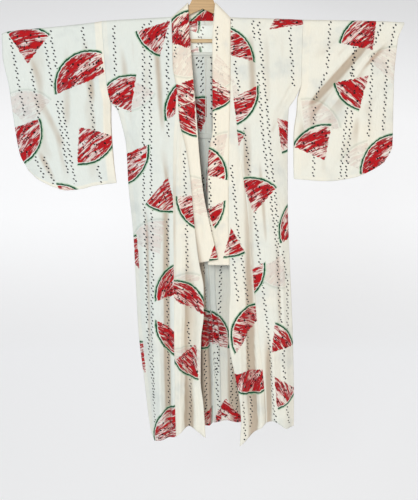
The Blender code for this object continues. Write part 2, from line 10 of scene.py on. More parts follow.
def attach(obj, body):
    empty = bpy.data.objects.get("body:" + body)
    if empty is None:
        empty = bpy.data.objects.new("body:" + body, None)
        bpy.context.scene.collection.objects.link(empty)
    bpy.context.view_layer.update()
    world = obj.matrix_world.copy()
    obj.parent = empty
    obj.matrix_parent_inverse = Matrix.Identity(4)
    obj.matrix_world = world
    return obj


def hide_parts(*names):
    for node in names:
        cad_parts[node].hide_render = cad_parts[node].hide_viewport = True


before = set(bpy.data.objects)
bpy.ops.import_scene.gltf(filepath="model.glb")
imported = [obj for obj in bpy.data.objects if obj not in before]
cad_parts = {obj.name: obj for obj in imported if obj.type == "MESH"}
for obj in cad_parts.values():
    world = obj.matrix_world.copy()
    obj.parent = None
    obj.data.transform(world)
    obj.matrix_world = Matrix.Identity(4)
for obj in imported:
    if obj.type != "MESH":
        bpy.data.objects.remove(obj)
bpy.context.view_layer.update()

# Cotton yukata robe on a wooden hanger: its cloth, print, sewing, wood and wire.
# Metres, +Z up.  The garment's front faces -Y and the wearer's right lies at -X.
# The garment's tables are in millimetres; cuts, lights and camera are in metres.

MM = 0.001

# A point of an edge; a main fold that widens to the hem; a softer crease; a melon slice, with its
# directions in degrees from +X as seen from the front and its point where that isn't the centre;
# a row of dots; what shows of a piece's cut.
Edge = namedtuple("Edge", "height across")
Fold = namedtuple("Fold", "top_height top_across hem_across half_width depth")
Crease = namedtuple("Crease", "start_across start_height end_across end_height half_width depth")
Slice = namedtuple("Slice", "across height way opening strokes point", defaults=(None,))
Row = namedtuple("Row", "top_across top_height foot_across foot_height")
Cut = namedtuple("Cut", "width length area")

# The cut of the garment, as in the part.

SHOULDER_RADIUS = 10.0
SLEEVE_END_RADIUS = 5.0
SLEEVE_FOOT_RADIUS = 2.5

NECK_POINT = {"right": Edge(-140, -99), "left": Edge(-142, 89)}
SHOULDER_END = {"right": Edge(-153, -321), "left": Edge(-149, 320)}
ARMHOLE_FOOT = {"right": -405, "left": -345}
COLLAR_END = {"right": -928, "left": -936}
FRONT_TIP = {"right": Edge(-1530, 9), "left": Edge(-1560, 125)}

SIDE_EDGE = {
    "right": (Edge(-153, -321), Edge(-275, -314), Edge(-353, -308), Edge(-405, -298), Edge(-430, -277),
              Edge(-457, -268), Edge(-555, -249), Edge(-666, -245), Edge(-834, -231), Edge(-989, -225),
              Edge(-1171, -218), Edge(-1346, -200), Edge(-1519, -181), Edge(-1560, -168)),
    "left": (Edge(-149, 320), Edge(-275, 318), Edge(-345, 319), Edge(-375, 308), Edge(-398, 297),
             Edge(-430, 278), Edge(-480, 277), Edge(-722, 280), Edge(-941, 291), Edge(-1197, 305),
             Edge(-1409, 312), Edge(-1505, 313)),
}
OKUMI_SEAM = {
    "right": (Edge(-384, -83.4), Edge(-559, -95), Edge(-720, -97), Edge(-918, -96), Edge(-1155, -96),
              Edge(-1363, -95), Edge(-1528, -92)),
    "left": (Edge(-335, 92.4), Edge(-527, 114), Edge(-737, 144), Edge(-952, 164), Edge(-1088, 177),
             Edge(-1295, 201), Edge(-1418, 212), Edge(-1486, 214)),
}
FRONT_EDGE = {
    "right": (Edge(-140, -99), Edge(-231, -96), Edge(-292, -95), Edge(-384, -80), Edge(-464, -75),
              Edge(-559, -53), Edge(-639, -41), Edge(-822, -25), Edge(-928, -12), Edge(-1017, 3),
              Edge(-1104, 3), Edge(-1186, -6), Edge(-1335, -8), Edge(-1420, 2), Edge(-1530, 9)),
    "left": (Edge(-142, 89), Edge(-292, 89), Edge(-335, 89), Edge(-559, 85), Edge(-656, 84),
             Edge(-820, 85), Edge(-936, 88), Edge(-1018, 91), Edge(-1106, 87), Edge(-1178, 87),
             Edge(-1233, 92), Edge(-1295, 104), Edge(-1379, 121), Edge(-1474, 129), Edge(-1560, 125)),
}
COLLAR_FREE_EDGE = {
    "right": (Edge(-99, -46), Edge(-209, -39), Edge(-292, -33), Edge(-370, -27), Edge(-432, -21),
              Edge(-559, -12), Edge(-688, 1), Edge(-802, 24), Edge(-915, 50)),
    "left": (Edge(-98, 40), Edge(-147, 35), Edge(-218, 31), Edge(-496, 32), Edge(-559, 20),
             Edge(-624, 16), Edge(-721, 17), Edge(-936, 17)),
}
CENTRE_BACK_SEAM = (Edge(-151, 6), Edge(-258, 9), Edge(-489, 11), Edge(-1033, 22), Edge(-1209, 34),
                    Edge(-1370, 41), Edge(-1510, 43))
NECK_SEAM = {
    "right": (Edge(-152, -96), Edge(-153, -72), Edge(-152, -34), Edge(-151, 6)),
    "left": (Edge(-152, 86), Edge(-153, 66), Edge(-152, 36), Edge(-151, 6)),
}
FRONT_HEM = {
    "right": ((-168, -1560), (-130, -1543), (-92, -1528)),
    "left": ((214, -1486), (242, -1478), (290, -1507), (313, -1505)),
}
OKUMI_HEM = {
    "right": ((-92, -1528), (-62, -1504), (-45, -1500), (9, -1530)),
    "left": ((125, -1560), (170, -1522), (214, -1486)),
}
BACK_HEM = {
    "right": ((-168, -1560), (-110, -1532), (-50, -1516), (0, -1510), (43, -1516)),
    "left": ((43, -1516), (90, -1506), (150, -1512), (230, -1500), (313, -1505)),
}
# How far the cloth stands from the middle plane at each height, inside and at its side.
FULLNESS = ((-140, 10.0), (-250, 16.0), (-450, 25.0), (-800, 32.0), (-1200, 38.0), (-1560, 42.0))
SIDE_GAP = {
    "right": ((-140, 10.0), (-300, 11.0), (-405, 9.0), (-470, 5.0), (-550, 1.0), (-1600, 1.0)),
    "left": ((-140, 10.0), (-260, 11.0), (-345, 9.0), (-440, 5.0), (-530, 1.0), (-1600, 1.0)),
}
SIDE_ROLL = 75.0
HEM_LEVEL = -1540.0
HEM_PULL_START = 0.6
FOLD_ONSET = 0.7
STEP_ONSET = 0.8

FRONT_FOLDS = {
    "right": (Fold(-560, -122, -118, 24, -17.0),
              Fold(-600, -70, -73, 20, 9.0),
              Fold(-860, -42, -50, 30, -26.0),
              Fold(-900, 0, 4, 22, 8.0),
              Fold(-620, -172, -158, 24, 8.0)),
    "left": (Fold(-470, 140, 176, 32, -17.0),
             Fold(-640, 96, 132, 24, 9.0),
             Fold(-1000, 196, 226, 34, -19.0),
             Fold(-760, 215, 200, 24, 6.0),
             Fold(-700, 262, 286, 22, 7.0)),
}
BACK_FOLDS = {
    "right": (Fold(-420, -110, -118, 30, -16.0),
              Fold(-500, -60, -66, 26, 9.0),
              Fold(-640, -160, -150, 20, 8.0)),
    "left": (Fold(-420, 120, 112, 34, -15.0),
             Fold(-520, 176, 180, 30, 11.0),
             Fold(-700, 236, 244, 26, -12.0)),
}
NECK_SHARE = 0.75
LEAST_ROLL = 0.5
# The back's right panel steps in behind the left beside the centre seam.
BACK_STEP_TOP = -560.0
BACK_STEP_DEPTH = 40.0
BACK_STEP_MARGIN = 6.0
BACK_STEP_WIDTH = 17.0
BACK_STEP_REACH = 150.0

# The collar: how far its free edge lifts down its length, and where that edge runs.
COLLAR_LIFT = {"right": (0.0, 3.0, 8.0, 13.0), "left": (0.0, -1.0, -4.0, -6.0)}
COLLAR_FREE_TOP = {"right": -102.0, "left": -100.0}
COLLAR_FREE_RIDGE = {"right": Edge(-97, -46), "left": Edge(-95, 40)}
COLLAR_FREE_FOOT = {"right": -915.0, "left": -936.0}
COLLAR_BACK_HEIGHT = -101.0
COLLAR_BACK_ACROSS = {"right": (-40, -22, -8, 5), "left": (36, 24, 14, 5)}
COLLAR_STAND = 0.8
COLLAR_BACK_STAND = 1.0
COLLAR_PUFF = 1.4
COLLAR_PUFF_SWING = 0.5
COLLAR_PUFF_WAVES = 9

SLEEVE_TOP = {
    "right": ((-321, -153), (-346, -157), (-475, -171), (-625, -186), (-640, -192)),
    "left": ((320, -149), (406, -150), (560, -153), (644, -157)),
}
SLEEVE_END = {
    "right": (Edge(-192, -640), Edge(-255, -640), Edge(-359, -623), Edge(-486, -611), Edge(-575, -597),
              Edge(-625, -572)),
    "left": (Edge(-157, 644), Edge(-213, 623), Edge(-338, 615), Edge(-508, 619), Edge(-547, 619),
             Edge(-600, 594)),
}
SLEEVE_FOOT = {
    "right": ((-285, -668), (-356, -677), (-400, -688), (-452, -692), (-487, -682), (-540, -656),
              (-572, -625)),
    "left": ((301, -655), (410, -662), (497, -650), (557, -624), (594, -600)),
}
SLEEVE_INNER = {
    "right": (Edge(-153, -321), Edge(-275, -314), Edge(-353, -308), Edge(-405, -298), Edge(-465, -299),
              Edge(-594, -293), Edge(-668, -285)),
    "left": (Edge(-149, 320), Edge(-275, 318), Edge(-345, 319), Edge(-372, 314), Edge(-398, 308),
             Edge(-438, 306), Edge(-508, 298), Edge(-600, 299), Edge(-655, 301)),
}
CUFF_FOOT = {"right": -400.0, "left": -385.0}
SLEEVE_MID_HALF = 12.0
SLEEVE_ARMHOLE_HALF = 8.5
CUFF_HALF = 7.0
CUFF_CLOSING = 60.0
SEAM_GAP = 0.4
SEWN_CUFF_HALF = 0.4
FOOT_EDGE_HALF = 0.36
SLEEVE_SMALL_SPREAD = 2.2
SLEEVE_TOP_REACH = 0.2
SLEEVE_FULL_REACH = 0.25
SLEEVE_FOOT_REACH = 0.3125
SLEEVE_FOLDS = {
    "right": (Fold(-200, -420, -400, 60, 6.0),
              Fold(-200, -540, -510, 50, -5.0)),
    "left": (Fold(-170, 565, 180, 46, -8.0),
             Fold(-170, 640, 330, 60, 6.0)),
}
SLEEVE_BACK_FOLDS = {
    "right": (Fold(-200, -400, -430, 60, -6.0),
              Fold(-200, -520, -560, 50, 5.0)),
    "left": (Fold(-180, 430, 420, 60, 6.0),
             Fold(-180, 540, 520, 50, -6.0)),
}
SLEEVE_FOLD_HEM = -690.0
SLEEVE_TILT = {"right": 0.12, "left": -0.02}

LINING_LEFT = -150.0
LINING_RIGHT = 150.0
LINING_TOP = -164.0
LINING_HEM = -258.0
LINING_STEPS = 16
LINING_COLUMNS = 80
LINING_INSET = 1.6

# Small layers sewn on inside the back, and how far inside it each lies.
SEAM_STRIP_TOP = -262.0
SEAM_STRIP_FOOT = -1500.0
SEAM_STRIP_OFFSETS = (2.0, 6.0, 11.0, 16.0, 21.0)
SEAM_STRIP_STEPS = 150
SEAM_STRIP_INSET = 1.3
TUCK_LEFT = -250.0
TUCK_RIGHT = 274.0
TUCK_HEIGHTS = (-507.0, -512.0, -518.0, -525.0)
TUCK_COLUMNS = 120
TUCK_INSET = 2.3
HEM_HEIGHTS = (-248.0, -253.0, -259.0)
HEM_INSET = 2.6

# Softer creases, drawn on each face: ridges, or troughs where negative.

CREASES = {
    "right front": (
        Crease(-262, -196, -226, -560, 26, -3.7), Crease(-206, -170, -196, -430, 20, 2.5),
        Crease(-150, -176, -128, -520, 17, -3.0), Crease(-290, -430, -236, -470, 16, 3.4),
        Crease(-262, -470, -196, -600, 15, -3.2), Crease(-214, -640, -196, -1080, 17, 4.3),
        Crease(-184, -700, -178, -1290, 12, -4.9), Crease(-205, -1120, -172, -1500, 13, -4.3),
        Crease(-146, -1180, -144, -1555, 12, 5.8), Crease(-104, -1230, -102, -1540, 9, 4.9),
        Crease(-62, -1080, -74, -1500, 9, -5.8), Crease(-36, -1320, -20, -1520, 12, 5.2),
        Crease(-140, -590, -108, -760, 12, 2.8), Crease(-74, -420, -84, -900, 10, 3.4),
        Crease(-24, -1050, -32, -1350, 16, -8.0)),
    "left front": (
        Crease(150, -172, 166, -420, 22, -3.2), Crease(226, -166, 240, -470, 26, 2.8),
        Crease(296, -350, 236, -430, 14, 3.7), Crease(286, -380, 214, -520, 16, -4.1),
        Crease(262, -470, 270, -760, 14, 2.8), Crease(180, -560, 214, -900, 14, -3.0),
        Crease(120, -420, 128, -720, 12, 3.9), Crease(246, -800, 262, -1180, 15, -4.9),
        Crease(282, -1100, 296, -1490, 11, 4.3), Crease(232, -1180, 244, -1480, 12, 6.4),
        Crease(176, -1160, 196, -1470, 11, 6.1), Crease(150, -1020, 158, -1480, 10, -7.2),
        Crease(118, -1060, 136, -1530, 9, 4.6), Crease(172, -1330, 186, -1510, 8, -4.9),
        Crease(300, -400, 264, -600, 12, -6.5), Crease(296, -330, 232, -452, 9, -5.5),
        Crease(276, -880, 290, -1240, 13, -5.0)),
    "right back": (
        Crease(-250, -190, -226, -520, 28, -3.4), Crease(-196, -172, -206, -440, 20, 2.8),
        Crease(-120, -210, -96, -520, 22, -3.0), Crease(-286, -440, -214, -560, 16, 3.7),
        Crease(-222, -650, -206, -1150, 15, -4.6), Crease(-186, -760, -184, -1330, 13, 4.3),
        Crease(-92, -620, -88, -1200, 14, -4.3), Crease(-40, -700, -34, -1400, 13, 4.9),
        Crease(-146, -1060, -134, -1530, 12, -5.8), Crease(-84, -1180, -74, -1510, 11, 4.9),
        Crease(-8, -900, 4, -1500, 10, -4.3)),
    "left back": (
        Crease(140, -176, 132, -400, 24, -3.2), Crease(214, -166, 222, -450, 22, 3.0),
        Crease(290, -372, 220, -500, 16, 3.9), Crease(262, -440, 180, -640, 15, -3.4),
        Crease(60, -520, 70, -1100, 14, 4.6), Crease(152, -700, 146, -1260, 13, -4.9),
        Crease(206, -760, 210, -1400, 12, 4.6), Crease(272, -820, 288, -1480, 11, -4.9),
        Crease(84, -1080, 90, -1500, 12, -5.5), Crease(184, -1160, 176, -1500, 11, 5.2)),
    "right sleeve front": (
        Crease(-336, -200, -330, -640, 20, 2.5), Crease(-380, -176, -352, -420, 22, -2.5),
        Crease(-610, -214, -470, -470, 30, 3.7), Crease(-560, -260, -440, -610, 24, -3.4),
        Crease(-612, -380, -560, -600, 20, 3.0), Crease(-470, -520, -400, -680, 20, 3.2),
        Crease(-540, -560, -480, -670, 16, -3.0), Crease(-430, -200, -436, -520, 26, -2.1)),
    "left sleeve front": (
        Crease(575, -166, 322, -440, 22, -9.5), Crease(602, -172, 352, -476, 20, 7.5),
        Crease(636, -186, 470, -330, 16, -3.9), Crease(500, -164, 396, -270, 22, 3.9),
        Crease(326, -400, 350, -560, 16, 3.4), Crease(400, -500, 392, -648, 20, -2.8),
        Crease(520, -420, 520, -630, 24, 2.8), Crease(590, -300, 596, -560, 16, -2.3)),
    "right sleeve back": (
        Crease(-350, -190, -330, -600, 22, -2.8), Crease(-600, -230, -500, -520, 26, 3.4),
        Crease(-520, -300, -420, -640, 22, -3.7), Crease(-440, -190, -450, -470, 24, 2.8),
        Crease(-590, -420, -520, -640, 18, 3.0)),
    "left sleeve back": (
        Crease(350, -180, 330, -590, 22, 2.8), Crease(600, -180, 400, -430, 24, -5.1),
        Crease(560, -240, 420, -520, 20, 4.1), Crease(470, -420, 480, -640, 22, -3.0),
        Crease(586, -320, 580, -580, 16, 2.5)),
    "collar": (
        Crease(-72, -190, -60, -460, 9, -1.8), Crease(-46, -480, -30, -700, 8, 2.1),
        Crease(-22, -640, 4, -880, 10, -2.5), Crease(66, -200, 60, -420, 10, 2.1),
        Crease(48, -420, 52, -640, 9, -2.3), Crease(62, -640, 56, -910, 10, 2.6)),
}
# How much of a crease's length it takes to rise and to run out.
CREASE_RISE = 0.3
CREASE_END = 0.22
# Small unevenness of hanging cotton: size of its waves and how far they stand.
RIPPLES = ((95.0, 2.2), (38.0, 0.8))
RIPPLE_STRETCH = 0.6
RIPPLE_LAYER_STEP = 0.37
# Creases and ripples begin below the shoulder.
CREASED_BELOW = -160.0
CREASED_WITHIN = 40.0

# The print: melon slices and lines of small dots.

SLICE_RADIUS = 122.0
PRINT = {
    "right front": (
        Slice(-101, -151, -135, 28, 38), Slice(-230, -439, 119, 39, 32),
        Slice(-5, -439, 178, 40, 50, (-21, -394)), Slice(-285, -559, -28, 48, 35, (-293, -587)),
        Slice(-112, -644, -104, 27, 30), Slice(-208, -957, 117, 23, 42),
        Slice(-46, -1042, 107, 89, 58, (-128, -1050)), Slice(-47, -1136, -121, 89, -38, (-115, -1145)),
        Slice(-192, -1321, 112, 21, 30), Slice(-71, -1533, 124, 75, 22, (-89, -1575))),
    "right okumi": (
        Slice(30, -710, -141, 37, 15, (8, -704)), Slice(-92, -1104, 50, 74, -33, (-89, -1058)),
        Slice(-10, -1209, -117, 33, -42, (-21, -1205))),
    "left front": (
        Slice(49, -285, 37, 53, 28, (62, -253)), Slice(62, -372, -27, 54, 24, (96, -394)),
        Slice(210, -181, 36, 28, 12), Slice(239, -454, -50, 30, -30), Slice(84, -611, 80, 18, 35),
        Slice(161, -765, 79, 32, 40, (166, -766)), Slice(362, -823, 158, 47, 58, (319, -836)),
        Slice(90, -947, -16, 47, 30, (117, -978)), Slice(203, -1243, 47, 38, -42, (229, -1232)),
        Slice(239, -1314, -57, 26, -48)),
    "left okumi": (
        Slice(86, -790, -83, 24, 25, (92, -811)), Slice(199, -1183, 143, 89, -28, (151, -1170)),
        Slice(158, -1263, -83, 89, 52, (156, -1296))),
    "right collar": (
        Slice(-30, -240, 122, 42, 45, (-30, -246)), Slice(-17, -330, -135, 29, -28),
        Slice(-21, -401, -131, 32, -30), Slice(7, -801, -93, 24, 20, (38, -864))),
    "collar neck": (Slice(59, -217, 131, 34, 70),),
    "left collar": (
        Slice(36, -317, -71, 34, -20, (31, -332)), Slice(-36, -657, 37, 59, 40, (1, -636)),
        Slice(-43, -734, -26, 45, 30, (14, -752)), Slice(86, -791, -84, 23, 25, (93, -813))),
    "right back": (
        Slice(-127, -158, 3, 21, 15, (-111, -158)), Slice(-6, -506, 96, 28, -25),
        Slice(7, -1114, -95, 19, 70), Slice(-23, -1214, 73, 88, -22, (50, -1229)),
        Slice(-230, -330, 20, 46, 30, (-214, -320)), Slice(-190, -640, 60, 34, 35),
        Slice(-70, -820, 150, 40, -30, (-84, -812)), Slice(-190, -1010, -20, 44, 25, (-176, -1006)),
        Slice(-110, -1330, 110, 34, 40), Slice(-60, -1470, -30, 40, 30, (-50, -1470))),
    "left back": (
        Slice(117, -680, 179, 26, 70, (110, -673)), Slice(-23, -1214, 73, 88, -22, (50, -1229)),
        Slice(79, -1417, -83, 36, -25), Slice(150, -230, -60, 36, 40),
        Slice(250, -470, 160, 44, 30, (236, -466)), Slice(170, -860, 70, 33, -35),
        Slice(260, -1080, -140, 42, 30, (246, -1082)), Slice(160, -1330, 30, 35, 25)),
    "lining": (Slice(-127, -158, 3, 21, 15, (-111, -158)), Slice(-122, -258, 0, 16, 15, (-106, -258))),
    "right sleeve front": (
        Slice(-559, -287, 87, 36, 16), Slice(-358, -362, 149, 53, 36, (-314, -320)),
        Slice(-637, -499, -25, 44, 52, (-650, -500)), Slice(-395, -490, -54, 41, 38, (-400, -485)),
        Slice(-477, -787, 76, 38, -24, (-437, -772))),
    "left sleeve front": (
        Slice(546, -244, 127, 42, 36, (540, -244)), Slice(533, -321, -137, 31, -42),
        Slice(400, -595, 119, 38, 22), Slice(634, -625, 141, 43, 28, (644, -631))),
    "right sleeve back": (
        Slice(-430, -330, 120, 36, 30), Slice(-560, -470, -30, 44, 45, (-548, -476)),
        Slice(-350, -560, 160, 34, -30)),
    "left sleeve back": (
        Slice(430, -300, 20, 46, 40, (444, -300)), Slice(560, -430, 100, 36, -35),
        Slice(380, -560, 60, 34, 25)),
}
# Slices of the layer behind, which show faintly through the cotton.
SHOW_THROUGH = {
    "right sleeve front": (Slice(-568, -483, 91, 46, 35),),
    "left sleeve front": (
        Slice(611, -349, 108, 28, -40), Slice(333, -512, 55, 44, 30), Slice(556, -645, 127, 28, 25)),
    "left front": (Slice(150, -420, 165, 50, 40, (140, -420)), Slice(270, -900, -120, 34, 30)),
    "right front": (Slice(-250, -320, -60, 30, 30), Slice(-140, -900, 120, 40, -30)),
    "right collar": (Slice(-60, -215, -90, 50, 40), Slice(-30, -760, 40, 60, 20)),
    "left collar": (Slice(45, -255, -80, 36, -30), Slice(60, -620, 120, 40, 35)),
    "right okumi": (Slice(-48, -1080, 110, 40, 30), Slice(-60, -1330, 60, 60, -25)),
    "left okumi": (Slice(150, -1000, 20, 60, 40),),
}
DOTS = {
    "right front": (
        Row(-282, -165, -276, -440), Row(-279, -480, -262, -640), Row(-188, -160, -186, -1140),
        Row(-186, -1150, -164, -1552), Row(-167, -150, -166, -900), Row(-165, -900, -168, -1400),
        Row(-112, -150, -112, -520), Row(-115, -780, -115, -1440)),
    "right okumi": (
        Row(-60, -560, -52, -960), Row(-52, -1130, -36, -1300), Row(-42, -1320, -44, -1500),
        Row(-28, -1010, -26, -1060)),
    "left front": (
        Row(89, -146, 93, -172), Row(101, -275, 118, -372), Row(133, -486, 153, -641),
        Row(153, -641, 184, -890), Row(184, -890, 229, -1275), Row(229, -1275, 248, -1490),
        Row(158, -150, 166, -214), Row(176, -311, 190, -470), Row(190, -470, 221, -715),
        Row(221, -715, 246, -900), Row(246, -900, 260, -1126), Row(260, -1126, 294, -1490),
        Row(177, -154, 203, -395), Row(203, -395, 223, -594), Row(223, -594, 254, -883),
        Row(264, -890, 282, -1000), Row(282, -1000, 286, -1200), Row(276, -172, 291, -361)),
    "left okumi": (
        Row(92, -605, 118, -845), Row(92, -840, 118, -1060), Row(118, -840, 152, -1080),
        Row(150, -1180, 162, -1500), Row(134, -1400, 144, -1540)),
    "right collar": (Row(-70, -620, -56, -830), Row(-92, -170, -86, -270)),
    "left collar": (Row(45, -170, 47, -250), Row(40, -420, 38, -560), Row(24, -640, 26, -900)),
    "right back": (
        Row(-2, -170, -2, -420), Row(-16, -180, -16, -300), Row(0, -640, 4, -980),
        Row(8, -1020, 10, -1110), Row(6, -1200, 12, -1500), Row(-88, -170, -92, -1500),
        Row(-104, -170, -108, -1500), Row(-190, -170, -196, -1520), Row(-258, -170, -236, -900)),
    "left back": (
        Row(30, -170, 30, -460), Row(24, -520, 28, -690), Row(62, -900, 50, -1330),
        Row(36, -1250, 60, -1500), Row(96, -170, 100, -1500), Row(112, -170, 118, -1500),
        Row(204, -170, 214, -1490), Row(270, -170, 262, -1490)),
    "lining": (Row(-2, -166, -2, -262), Row(-16, -196, -16, -262)),
    "right sleeve front": (
        Row(-614, -195, -576, -450), Row(-558, -560, -520, -650), Row(-550, -300, -526, -480),
        Row(-522, -580, -488, -670), Row(-508, -180, -480, -370), Row(-470, -400, -440, -640),
        Row(-486, -180, -464, -320), Row(-456, -400, -418, -670), Row(-384, -170, -366, -290),
        Row(-364, -350, -352, -500), Row(-346, -610, -330, -670)),
    "left sleeve front": (
        Row(405, -152, 398, -300), Row(396, -310, 362, -400), Row(361, -420, 362, -650),
        Row(480, -160, 482, -330), Row(464, -400, 450, -655), Row(500, -160, 474, -330),
        Row(482, -400, 468, -655), Row(572, -155, 546, -230), Row(545, -250, 536, -520),
        Row(612, -160, 592, -250), Row(590, -270, 584, -500)),
    "right sleeve back": (
        Row(-600, -200, -560, -600), Row(-500, -190, -470, -680), Row(-484, -190, -452, -680),
        Row(-380, -180, -350, -670)),
    "left sleeve back": (
        Row(390, -160, 372, -650), Row(406, -160, 390, -650), Row(500, -160, 486, -640),
        Row(590, -165, 570, -600)),
}
DOT_SPACING = 10.0
DOT_RADIUS = 2.75
DOT_SWING = 2.3

# Colours.

COOL_WHITE = (0.715, 0.765, 0.735)
COOL_SHADE = (0.55, 0.60, 0.60)
IVORY = (0.865, 0.825, 0.705)
# Tan of the painted shade in the troughs of folds.
TROUGH_SHADE_TAN = (0.45, 0.36, 0.27)
DARK_GREEN = (0.004, 0.070, 0.030)
PALE_GREEN = (0.36, 0.54, 0.38)
PALE_PINK = (0.66, 0.30, 0.30)
CRIMSON = (0.30, 0.020, 0.032)
RED = (0.47, 0.004, 0.008)
DEEP_RED = (0.19, 0.004, 0.012)
# How far each piece is toned from cool white to ivory all over: partly the cotton's own tone, and on the
# left pieces, at +X, painted warm light from that side.
IVORY_TONE_AND_WARM_LIGHT = {("body", "right"): 0.16, ("body", "left"): 0.46,
          ("sleeve", "right"): 0.0, ("sleeve", "left"): 0.52}
# Painted light: the lining glows faintly, standing in for light that reaches inside the robe through its
# thin cotton.
LINING_GLOW = (1.0, 0.97, 0.86, 1.0)
LINING_GLOW_STRENGTH = 0.20
SEED_BLACK = (0.006, 0.005, 0.006)
NAVY = (0.004, 0.005, 0.014)
WOOD_DARK = (0.40, 0.235, 0.085)
WOOD_LIGHT = (0.53, 0.335, 0.135)
WOOD_COAT = 0.35
BAR_DARK = (0.50, 0.34, 0.17)
BAR_LIGHT = (0.72, 0.55, 0.33)
BAR_COAT = 0.1
STEEL = (0.62, 0.62, 0.60)
PAPER_GREY = (0.46, 0.475, 0.50)
PAPER_ROUGHNESS = 0.9
# Painted shade, tan, in the troughs of folds: its strength, the depth in mm that gives all of it, and its
# fade at a sheet's end.
TROUGH_SHOW = 0.84
TROUGH_DEPTH = 2.5
TROUGH_EDGE = 60.0
TROUGH_REACHES = (6, 12)

# Detail and roughness of a rich noise.
RICH_NOISE = (3.0, 0.6)

# Cotton: slubs along the threads, clouds of warmer and cooler cloth, patches of painted cool grey shade,
# and its crumpled surface.
SLUB_STRETCH = (1.0, 0.06, 1.0)
SLUB_SCALE = 420.0
SLUB_LIGHT = (0.10, 0.95)
SLUB_HEIGHT = 0.12
CLOUD_SCALE = 7.0
CLOUD_SHOW = 0.6
SHADE_SCALE = 8.5
SHADE_RANGE = (0.50, 0.72)
SHADE_SHOW = 0.45
CRUMPLE_STRETCH = (1.0, 0.55, 1.0)
CRUMPLE_SCALE = 38.0
CRUMPLE_NOISE = (4.0, 0.6)
COTTON_ROUGHNESS = 0.85
COTTON_SHINE = 0.2
COTTON_SHEEN = 0.15
WEAVE_STRENGTH = 0.5
WEAVE_DISTANCE = 0.010

# Melon slices: radii are shares of a slice's own, and soft edges are in metres.
PRINT_DRIFT_SCALE = 45.0
PRINT_DRIFT = (0.004, 0.004, 0.0)
FAINT = 0.16
HIDES_DOTS = (0.3, 0.6)
# Place, kind and ink where nothing is printed.
NOWHERE = ((2.0, 0.0, 0.0), (-1.0, 0.0, 0.0), 0.0)
WOBBLE_SCALE = 110.0
RADIUS_WOBBLE = 0.045
EDGE_WOBBLE = 0.012
EDGE_SOFTNESS = 0.0022
FLESH_SOFTNESS = 0.0020
FLESH_END = (0.900, 0.915)
RIND = ((0.920, (*PALE_GREEN, 0.0)), (0.930, (*DARK_GREEN, 1.0)), (0.968, (*DARK_GREEN, 1.0)),
        (0.976, (*PALE_GREEN, 0.8)), (0.999, (*PALE_GREEN, 0.45)))
FLESH = ((0.420, (*PALE_PINK, 0.12)), (0.462, (*PALE_PINK, 0.80)), (0.485, (*CRIMSON, 0.95)),
         (0.515, (*DEEP_RED, 1.0)), (0.545, (*RED, 1.0)), (0.625, (*RED, 1.0)), (0.680, (*DEEP_RED, 1.0)))
STROKE_BEND = 0.16
STROKE_STRETCH = 0.13
STROKE_CHANGE = 3.0
BROAD_SCALE = 9.0
BROAD_SHOW = 0.42
FINE_SCALE = 30.0
FINE_SHOW = 0.58
FINE_NOISE = (3.0, 0.65)
PATCH_SCALE = 17.0
PATCH_SHOW = 0.16
SEEDS_ROUND = 6.5
SEEDS_OUT = 7.0
SEED_SIZE = 0.22
SEED_CHANCE = 0.38
SEEDS_FROM = (0.34, 0.36)
SEEDS_TO = (0.78, 0.80)
# Rows of dots: how far a dot strays in its place, and its shape across the row's two slants.
DOT_STRAY = 0.6
DOT_SHIFT = 0.35
DOT_LONG = 0.56
DOT_WIDE = 0.86

# Wood: rings and pores, stretched along the grain.
RING_STRETCH = (0.10, 1.0, 1.0)
RING_SCALE = 34.0
RING_DISTORTION = 5.0
RING_DETAIL = 3.0
RING_DETAIL_SCALE = 1.6
RING_SHOW = 0.6
PORE_STRETCH = (0.04, 1.0, 1.0)
PORE_SCALE = 900.0
PORE_SHOW = 0.5
WOOD_ROUGHNESS = (0.15, 0.34)
WOOD_BUMP_STRENGTH = 0.1
WOOD_BUMP_DISTANCE = 0.0004
WIRE_SCALE = 600.0
WIRE_DETAIL = 3.0
WIRE_ROUGHNESS = (0.2, 0.18)

# Doubled cloth along seams and hems, in mm from a sheet's edges, and how warm it looks.
SEAM_WARMTH = 0.35
SEAM_SOFTNESS = 3.0
HEM = 14.0
FRONT_SEAM = 14.0
SIDE_SEAM = 18.0
SLEEVE_SEAM = 26.0
SLEEVE_SEAM_WARMTH = 0.62
OKUMI_WARMTH = 0.55
COLLAR_WARMTH = 0.9
STRIP_WARMTH = 0.3

# Strips that carry the back's print.
PRINTED_STRIPS = ("centre_seam_allowance",)

# Camera and lights: place, what each lamp points at, size, power and colour.

CAMERA_DISTANCE = 2.6
CAMERA_TILT = 9.0
CAMERA_LENS = 37.44
CAMERA_FILM = 24.0
CAMERA_ACROSS = 0.0205
CAMERA_AIMS_AT = -0.891
LIGHTS = (
    ("window", (-0.9, -4.3, 0.35), (0.0, 0.0, -0.85), (1.3, 1.6), 108.0, (0.98, 1.0, 1.0)),
    ("rear", (0.6, 2.8, 1.5), (0.0, 0.0, -0.85), (1.6, 1.2), 26.0, (1.0, 1.0, 1.0)),
    ("lamp", (3.2, -2.4, -0.3), (0.1, 0.0, -0.85), (1.0, 1.6), 24.0, (1.0, 0.78, 0.60)),
)
AIR = (1.0, 0.955, 0.90, 1.0)
AIR_STRENGTH = 0.38
# The backdrop's glow from floor to top.
PAPER = ((0.0, 0.46), (0.28, 0.60), (0.50, 0.58), (0.68, 0.45), (0.80, 0.37), (1.0, 0.31))
PAPER_FROM = -2.1
PAPER_TO = 1.2
WALL = 3.6
FLOOR = -2.1
BACKDROP_TOP = 4.5
BACKDROP_FRONT = -3.4
BACKDROP_HALF = 10.0
BACKDROP_CURVE = 0.7
BACKDROP_CURVE_STEPS = 9

# How finely each piece is laid out: steps down a face, columns across, steps over a shoulder.
BODY_STEPS = 170
BODY_COLUMNS = 60
OKUMI_STEPS = 130
OKUMI_COLUMNS = 26
SLEEVE_STEPS = 84
SLEEVE_COLUMNS = 78
COLLAR_STEPS = 120
COLLAR_COLUMNS = 12
ARC_STEPS = 10

